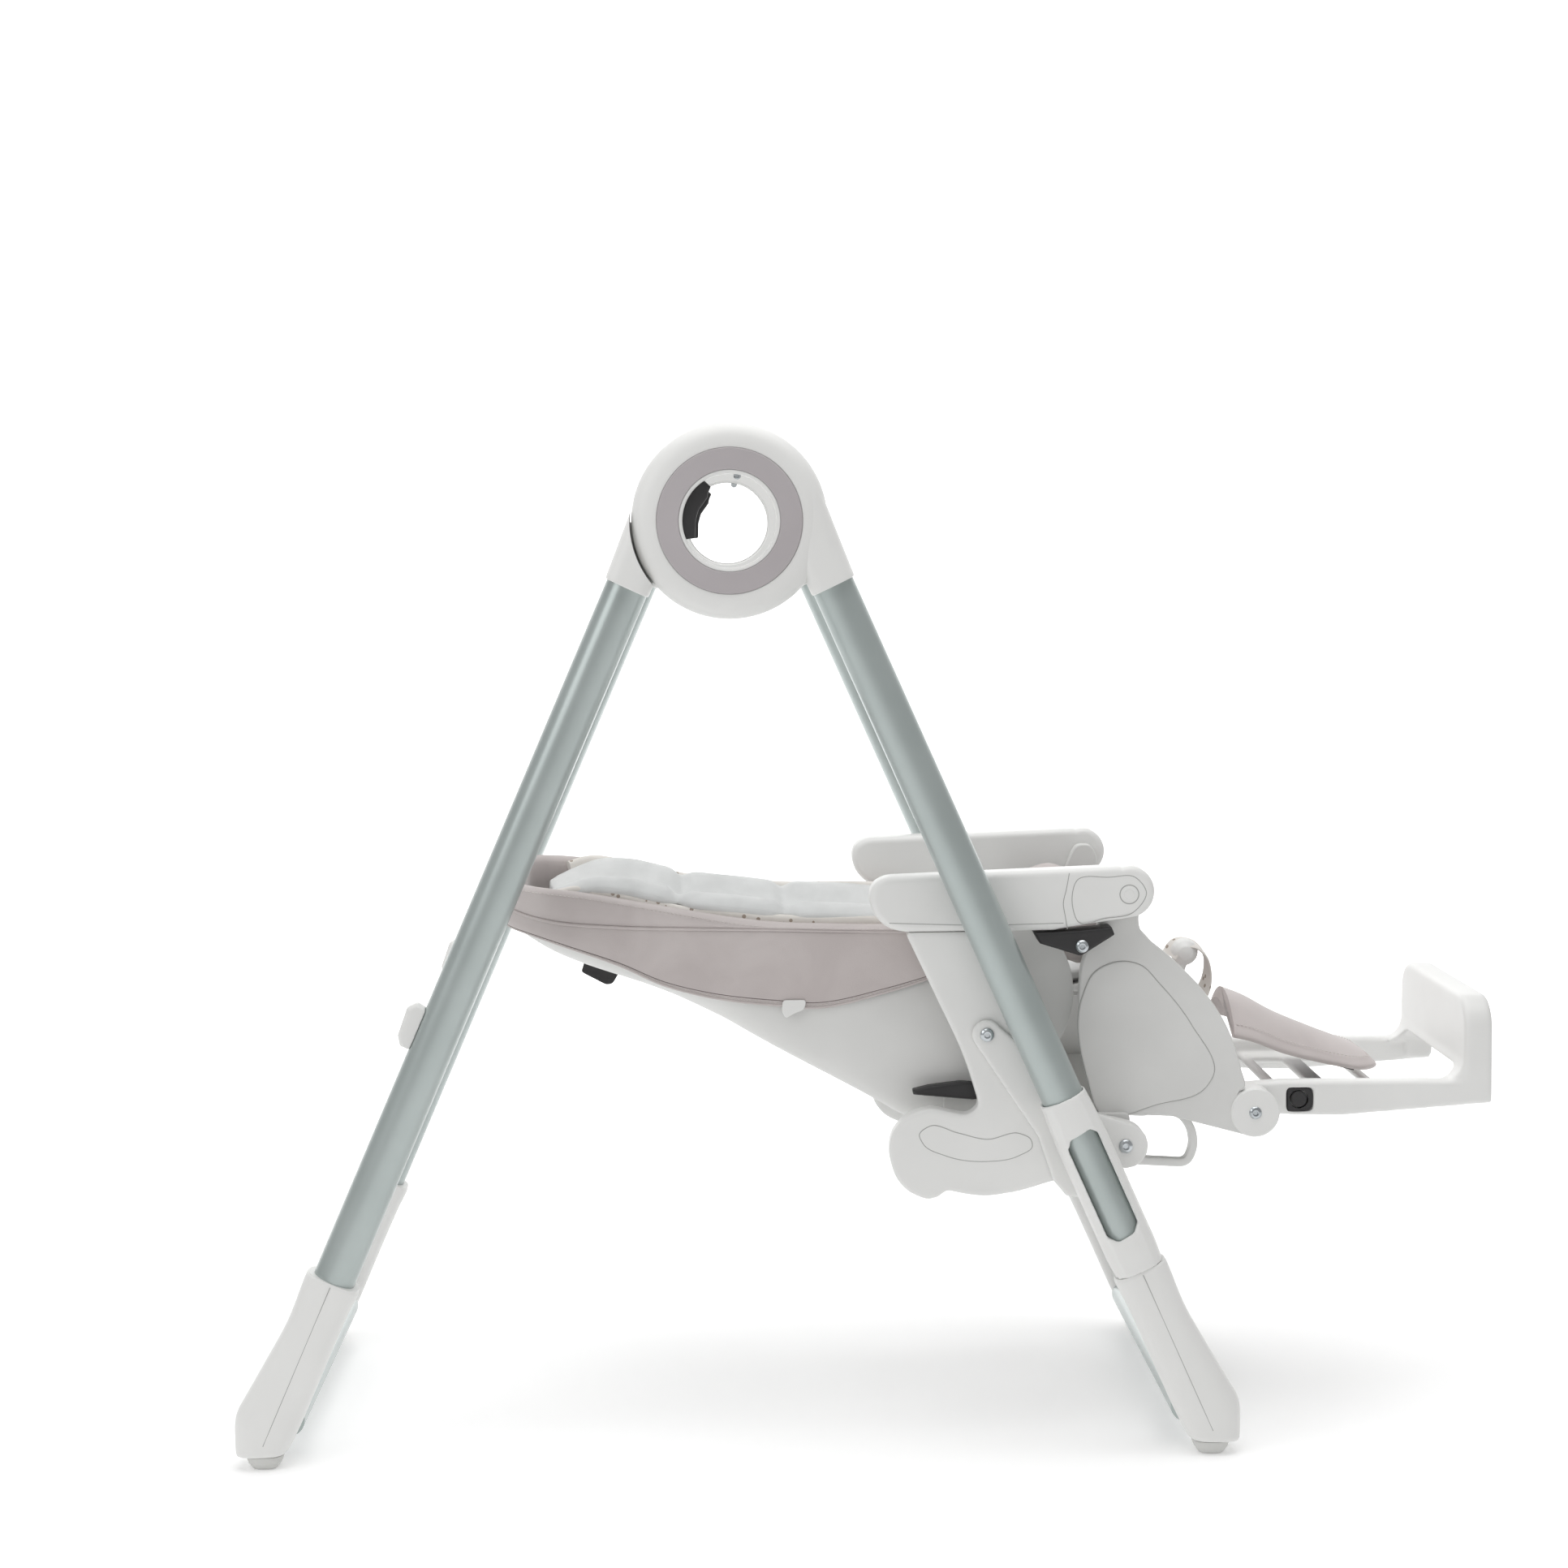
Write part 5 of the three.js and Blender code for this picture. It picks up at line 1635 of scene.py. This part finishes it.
@dataclass
class Liner:
    """The quilted liner: a channelled back with side rolls, a seat pad, and coated rolls at the hips."""

    datum: Datum
    half: float = 113.0
    deep_seams: tuple[float, ...] = (-306.0, -196.0)
    light_seams: tuple[float, ...] = (-370.0, -250.0, -130.0, -75.0)
    hip_middle: float = 130.5

    def world(self, points: Points, y: float | np.ndarray) -> np.ndarray:
        """Points given from the recline axis, at a Y."""
        return at_y(np.asarray(points, float) + self.datum.recline, y)

    def section(self, floor: float, crest: float, share: float, lower: float = 10.0) -> np.ndarray:
        """One cross-section of the back liner: a floor, two sloping walls and a stuffed roll along each edge.

        Args:
            floor: height of the floor's middle.
            crest: height of the rolls' middle.
            share: width as a share of the full width.
            lower: how much lower the left roll lies.

        Returns:
            Points as Y and Z round the section.
        """
        right, left = self.half_section(floor, crest, -1.0), self.half_section(floor, crest - lower, 1.0)
        ends = np.array([(0.0, floor + 9.0)]), np.array([(0.0, floor - 7.0)])
        ring = np.vstack([ends[0], left, ends[1], np.flipud(right)])
        return smooth_curve(ring * (share, 1.0), 150, closed=True)

    def half_section(self, floor: float, crest: float, sign: float) -> np.ndarray:
        """The section's points on one side, from the floor's top round the roll to its underside."""
        rise = crest - floor
        half = [(48, floor + 9.5), (84, floor + 11), (104, floor + 0.5 * rise + 8), (117, crest + 7),
                (129, crest + 10.5), (140, crest + 8), (146.5, crest), (141, crest - 9), (129, crest - 10),
                (115, floor + 0.42 * rise - 6), (90, floor - 6), (46, floor - 7)]
        return np.array(half) * (sign, 1.0)

    def back(self) -> bpy.types.Object:
        """The back liner in one piece, with deep sewn seams across it and lighter channels along it."""
        x = np.array([-449, -445, -436, -420, -395, -362, -331, -300, -270, -235, -200, -160, -120, -80, -45,
                      -28, -23], float)
        floor = np.interp(x, [-440, -30], [66, 22])
        crest = np.interp(x, [-449, -411, -390, -362, -331, -296, -252, -200, -109, -80, -45, -23],
                          [92, 108, 113, 111, 104, 96, 91, 85, 80, 74, 56, 38])
        share = np.interp(x, [-449, -445, -436, -420, -395, -28, -23], [0.76, 0.82, 0.895, 0.95, 1, 1, 0.985])
        flat = np.stack([self.section(*values) for values in zip(floor, crest, share, strict=True)])
        where = np.broadcast_to(x[:, None], flat.shape[:2]) + self.datum.recline[0]
        rings = np.stack([where, flat[..., 0], flat[..., 1] + self.datum.recline[1]], axis=-1)
        piece = skin("liner_back", blended_rows(rings, 100))
        inflate(piece, 5.0, 4.0, 4.0)
        seams, cross = (np.array(x) + self.datum.recline[0] for x in (self.deep_seams, self.light_seams))
        quilt(piece, lambda p: groove(self.bowed(p, seams), 9.0, 6.2))
        quilt(piece, lambda p: self.channels(p, cross))
        return piece

    def bowed(self, spots: np.ndarray, seams: np.ndarray) -> np.ndarray:
        """Distance along X to the nearest seam, each seam being a shallow V that points to the foot end."""
        return np.abs(spots[:, :1] + 0.1 * np.abs(spots[:, 1:2]) - 12.0 - seams).min(axis=1)

    def channels(self, spots: np.ndarray, cross: np.ndarray) -> np.ndarray:
        """Depth of the lighter channels: along the floor, and across it, fading out on the walls."""
        fade = np.clip((104.0 - np.abs(spots[:, 1])) / 16.0, 0.0, 1.0)
        along = groove(np.abs(np.abs(spots[:, 1]) - 42.0), 5.0, 3.2)
        over = groove(np.abs(spots[:, :1] - cross).min(axis=1), 5.0, 3.2)
        return fade * np.maximum(along, over)

    def under_strip(self, side: Side) -> bpy.types.Object:
        """The printed edge band under the side roll, where the liner turns over the rim."""
        line = smooth_curve([(-432, 101), (-409, 106), (-375, 101), (-342, 93), (-301, 84), (-252, 79),
                             (-197, 74), (-109, 73), (-60, 70)], 110)
        y = side.value * np.interp(line[:, 0], [-440, -420, -395, -60], [127, 136, 143, 143.5])
        return swept("liner_edge_" + side.tag, self.world(line, y), oval(5.0, 7.0, 24, 3.0), UP)

    def seat_pad(self) -> bpy.types.Object:
        """The pad on the seat pan."""
        path = [(-158, 273.5), (-125, 271.5), (-92, 272.5), (-51, 277.5), (-10, 285), (20, 285.5)]
        line = smooth_curve(path, 60) + self.datum.seat - self.datum.recline
        piece = skin("liner_seat", roll(self.world(line, 0.0), np.full(60, self.half - 2), np.full(60, 9.0),
                                        3.6, 56))
        inflate(piece, 6.0, 4.0, 3.5)
        quilt(piece, lambda p: groove(np.abs(np.abs(p[:, 1]) - 56.0), 5.5, 3.0))
        return piece

    def hip_roll(self, side: Side) -> bpy.types.Object:
        """The coated roll beside the hips, arched under the armrest."""
        line = smooth_curve([(-92, 300), (-78, 318), (-50, 328), (-20, 322), (-2, 304)],
                            50) + self.datum.seat - self.datum.recline
        wide, high = np.full(50, 15.5), np.interp(np.linspace(0, 1, 50), [0, 0.5, 1], [24, 39, 24])
        piece = skin("hip_roll_" + side.tag, roll(self.world(line, side.value * self.hip_middle), wide, high,
                                                  2.8))
        inflate(piece, 5.0, 4.0, 2.5)
        return piece

    def build(self) -> None:
        """Makes and dresses the liner's pieces."""
        for side in Side:
            tag = side.tag
            dress(self.under_strip(side), "backrest", LINER_PRINT)
            dress(self.hip_roll(side), "seat", COATED_CLOTH, "seat_bolster_" + tag)
        nodes = ["backrest_pad", "backrest_bolster_right", "backrest_bolster_left"]
        dress(self.back(), "backrest", LINER_JERSEY, *nodes)
        dress(self.seat_pad(), "seat", LINER_JERSEY, "seat_pad")


@dataclass
class KneeCover:
    """The coated cloth over the pan's front edge, with the strap loop round the crotch post."""

    datum: Datum
    half: float = 140.0

    def apron(self) -> bpy.types.Object:
        """The cloth that rolls over the front of the seat."""
        line = smooth_curve([(14, 279), (40, 273.5), (62, 259), (80, 239), (96, 212), (105, 186), (110, 165)],
                            46) + self.datum.seat
        across = np.linspace(-1.0, 1.0, 61)
        crown = 1.2 * np.cos(across * np.pi / 2) ** 0.5
        rows = crosswise(at_y(line), np.stack([self.half * across, crown - 0.2], axis=-1))
        return thickened(sheet("knee_apron", rows), 1.6)

    def strap(self) -> bpy.types.Object:
        """The printed loop of webbing round the post."""
        path = smooth_curve([(96, 232), (104, 246), (107, 262), (104, 280), (92, 292), (74, 292), (66, 280)],
                            60)
        lean = np.linspace(-0.5, 0.55, len(path))[:, None]
        thick, wide = oval(1.5, 13.0, 32, 3.0).T
        tape = [thick * np.cos(lean) - wide * np.sin(lean), thick * np.sin(lean) + wide * np.cos(lean)]
        return swept("crotch_strap", at_y(path + self.datum.seat), np.stack(tape, axis=-1), ACROSS)

    def build(self) -> None:
        """Makes and dresses the apron and strap."""
        apron = dress(self.apron(), "seat", COATED_CLOTH)
        strap = dress(self.strap(), "seat", LINER_PRINT)


@dataclass
class LegRest:
    """The leg rest: its arms, board and foot plate, the side buttons and the padded calf flap."""

    datum: Datum
    flap_half: float = 82.0
    button_spot: tuple[float, float] = (51, 7)
    well_faces: tuple[float, float] = (139.6, 122.0)

    def droop(self, y: np.ndarray, share: np.ndarray) -> np.ndarray:
        """How far the flap hangs at a distance from its middle: a parabola, deepest at the knee."""
        return (30.0 * (1.0 - share) ** 0.8 + 3.0) * (y / self.flap_half) ** 2

    def course(self, inset: float, head: Line) -> tuple[np.ndarray, np.ndarray, np.ndarray]:
        """The flap's middle line from the knee to the board, and its width, which falls toward a round end.

        Args:
            inset: distance inside the flap's own edge.
            head: the line's first point.

        Returns:
            The line as X and Z, the share of the way down it, and the half width.
        """
        tail = (150 - inset, 26 + inset * 0.42)
        line = smooth_curve([*head, (10, 90), (47, 70), (92, 50.5), (128, 36), tail], 60) + self.datum.calf
        share = np.linspace(0.0, 1.0, 60)
        return line, share, (self.flap_half - inset) * (1.0 - 0.34 * self.rounding(share)**2.6)

    def rounding(self, share: np.ndarray) -> np.ndarray:
        """How far into the flap's round end each share lies, from 0 to 1."""
        return np.clip((share - 0.78) / 0.22, 0.0, 1.0)

    def flap(self) -> bpy.types.Object:
        """The calf flap: a padded tongue with a round end that drapes from the knee to the board."""
        line, share, wide = self.course(0.0, ((-6, 96),))
        section = oval(wide, 5.2 * (1.0 - 0.5 * self.rounding(share)**6), 72, 4.0)
        section[..., 1] *= 1.0 + 0.25 * np.cos(np.clip(section[..., 0] / self.flap_half, -1, 1) * np.pi / 2)
        rings = crosswise(at_y(line), section)
        rings[..., 2] -= self.droop(section[..., 0], share[:, None])
        return skin("calf_flap", rings, crease=60.0)

    def well(self, side: Side) -> bpy.types.Object:
        """The dark floor of the slot round a side button."""
        corners = np.array([(38.3, -5.7), (65.7, -5.7), (65.7, 18.7), (38.3, 18.7)]) + self.datum.calf
        outline = filleted(corners, (1, 9, 9, 1))
        piece = plate("button_well_" + side.tag, outline, *side.levels(*self.well_faces), 0.6)
        bore = side.profile([(AXIS, 120.0), (9.8, 120.0), (9.8, 150.0), (AXIS, 150.0)])
        trim_away(piece, turned("well_cutter_" + side.tag, bore, self.datum.calf + self.button_spot, 48,
                                closed=False))
        return piece

    def button(self, side: Side) -> bpy.types.Object:
        """A side button, with a rounded rim."""
        profile = [(AXIS, 136.2), (8.3, 136.2), (8.3, 139.9), (7.4, 140.9), (4.0, 141.1), (AXIS, 140.8)]
        name = f"leg_rest_button_{side.tag}_look"
        return turned(name, side.profile(profile), self.datum.calf + self.button_spot, 48, closed=False)

    def flap_edge(self, inset: float, lift: float) -> np.ndarray:
        """A line round the flap's top, a set distance inside its edge.

        Args:
            inset: distance from the edge.
            lift: height over the flap's middle surface.

        Returns:
            The line's points.
        """
        flat, share, wide = self.course(inset, ((-2, 94),))
        along = np.gradient(flat, axis=0)
        along /= np.linalg.norm(along, axis=1)[:, None]
        up = np.stack([-along[:, 1], along[:, 0]], axis=1) * lift
        one = np.stack([flat[:, 0] + up[:, 0], wide, flat[:, 1] + up[:, 1] - self.droop(wide, share)], axis=1)
        other = np.flipud(one) * (1.0, -1.0, 1.0)
        across = np.linspace(one[-1], other[0], 12)[1:-1]
        return np.vstack([one, across, other])

    def tape(self) -> bpy.types.Object:
        """The dark hook tape under the flap."""
        line = smooth_curve([(60, 55), (92, 42), (124, 29)], 24) + self.datum.calf
        section = oval(66.0, 1.2, 40, 6.0)
        rings = crosswise(at_y(line), section)
        rings[..., 2] -= self.droop(section[:, 0], np.linspace(0.42, 0.84, 24)[:, None])
        return skin("calf_flap_tape", rings)

    def build(self) -> None:
        """Makes and dresses the leg rest's pieces."""
        dress(moulded("leg_rest", 2.4, 8), "leg_rest", WHITE_SHELL, "leg_rest")
        dress(self.flap(), "leg_rest", COATED_CLOTH, "calf_pad")
        dress(self.tape(), "leg_rest", HOOK_TAPE)
        dress(stitches("calf_flap_stitches", self.flap_edge(9.0, 6.3), UP), "leg_rest", THREAD)
        for side in Side:
            dress(self.well(side), "leg_rest", BLACK_PART)
            node = "leg_rest_button_" + side.tag
            dress(self.button(side), node, BLACK_PART, node)


# ---- Studio


@dataclass
class Studio:
    """The pale floor, the soft lights and the camera."""

    place: tuple[float, float, float] = (-0.1521, -3.067, 0.920)
    yaw: float = 1.31
    pitch: float = 4.9
    tilt: float = -0.55
    lens: float = 66.56
    sensor: float = 36.0
    paper: tuple[float, float, float, float] = (0.93, 0.93, 0.93, 1.0)
    paper_glow: float = 0.2
    world_strength: float = 0.42
    lights: tuple[tuple[str, Sequence[float], Sequence[float], float, float], ...] = (
        ("key_light", (-2.6, -2.0, 2.2), (0.0, 0.0, 0.5), 1.8, 19.0),
        ("top_light", (0.1, -0.2, 3.1), (0.0, 0.0, 0.0), 2.8, 54.0),
        ("backdrop_light", (0.0, 1.7, 2.8), (0.0, 4.4, 1.6), 3.0, 120.0),
    )

    def camera(self) -> None:
        """A camera turned by yaw, then pitch, then a slight roll about its own line of sight."""
        yaw, pitch, tilt = (math.radians(v) for v in (self.yaw, self.pitch, self.tilt))
        ahead = Vector((math.sin(yaw) * math.cos(pitch), math.cos(yaw) * math.cos(pitch), -math.sin(pitch)))
        level = Vector((math.cos(yaw), -math.sin(yaw), 0.0))
        lift = level.cross(ahead)
        right = level * math.cos(tilt) + lift * math.sin(tilt)
        up = lift * math.cos(tilt) - level * math.sin(tilt)
        data = bpy.data.cameras.new("camera")
        data.lens, data.sensor_width = self.lens, self.sensor
        eye = in_scene("camera", data)
        turn = Matrix((right, up, -ahead)).transposed().to_4x4()
        eye.matrix_world = Matrix.Translation(self.place) @ turn
        bpy.context.scene.camera = eye

    def floor(self) -> None:
        """A wide pale floor that curves up behind the object."""
        run = smooth_curve([(-6.0, 0.0), (2.0, 0.0), (3.4, 0.25), (4.2, 1.2), (4.4, 5.0)], 60)
        across = np.array([-8.0, 8.0])
        rows = np.stack(np.broadcast_arrays(across[None], run[:, :1], run[:, 1:]), axis=-1) / MM
        rows[..., 2] = np.maximum(rows[..., 2], 0.0)
        sweep = sheet("studio_floor", rows)
        ground = bpy.data.materials.new("studio_paper")
        ground.use_nodes = True
        shader = ground.node_tree.nodes["Principled BSDF"]
        shader.inputs["Base Color"].default_value = self.paper
        shader.inputs["Roughness"].default_value = 0.95
        shader.inputs["Emission Color"].default_value = (1.0, 1.0, 1.0, 1.0)
        shader.inputs["Emission Strength"].default_value = self.paper_glow
        sweep.data.materials.append(ground)

    def light(self, name: str, place: Sequence[float], aim: Sequence[float], size: float,
              power: float) -> None:
        """A square soft light.

        Args:
            name: its name.
            place: where it stands.
            aim: what it faces.
            size: its side in metres.
            power: its power in watts.
        """
        data = bpy.data.lights.new(name, "AREA")
        data.shape, data.size, data.energy = "SQUARE", size, power
        lamp = in_scene(name, data)
        turn = (Vector(aim) - Vector(place)).to_track_quat("-Z", "Y").to_matrix().to_4x4()
        lamp.matrix_world = Matrix.Translation(place) @ turn

    def build(self) -> None:
        """Makes the whole studio."""
        self.camera()
        self.floor()
        world = bpy.data.worlds.new("studio_world")
        world.use_nodes = True
        sky = world.node_tree.nodes["Background"]
        sky.inputs["Color"].default_value = (1.0, 1.0, 1.0, 1.0)
        sky.inputs["Strength"].default_value = self.world_strength
        bpy.context.scene.world = world
        for lamp in self.lights:
            self.light(*lamp)
        bpy.context.scene.view_settings.view_transform = "Standard"


def main() -> None:
    """Builds the studio and every sub-assembly."""
    logging.basicConfig(level=logging.INFO, format="%(name)s %(message)s")
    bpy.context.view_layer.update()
    Studio().build()
    datum = Datum()
    for side in Side:
        Hub(datum, side).build()
        Leg(datum, side, rear=False).build()
        Leg(datum, side, rear=True).build()
        SeatSide(datum, side).build()
        Armrest(datum, side).build()
    FloorBar("front").build()
    FloorBar("rear").build()
    SeatPan(datum).build()
    Backrest(datum).build()
    ShellCover(datum).build()
    Liner(datum).build()
    KneeCover(datum).build()
    LegRest(datum).build()


if __name__ == "__main__":
    main()
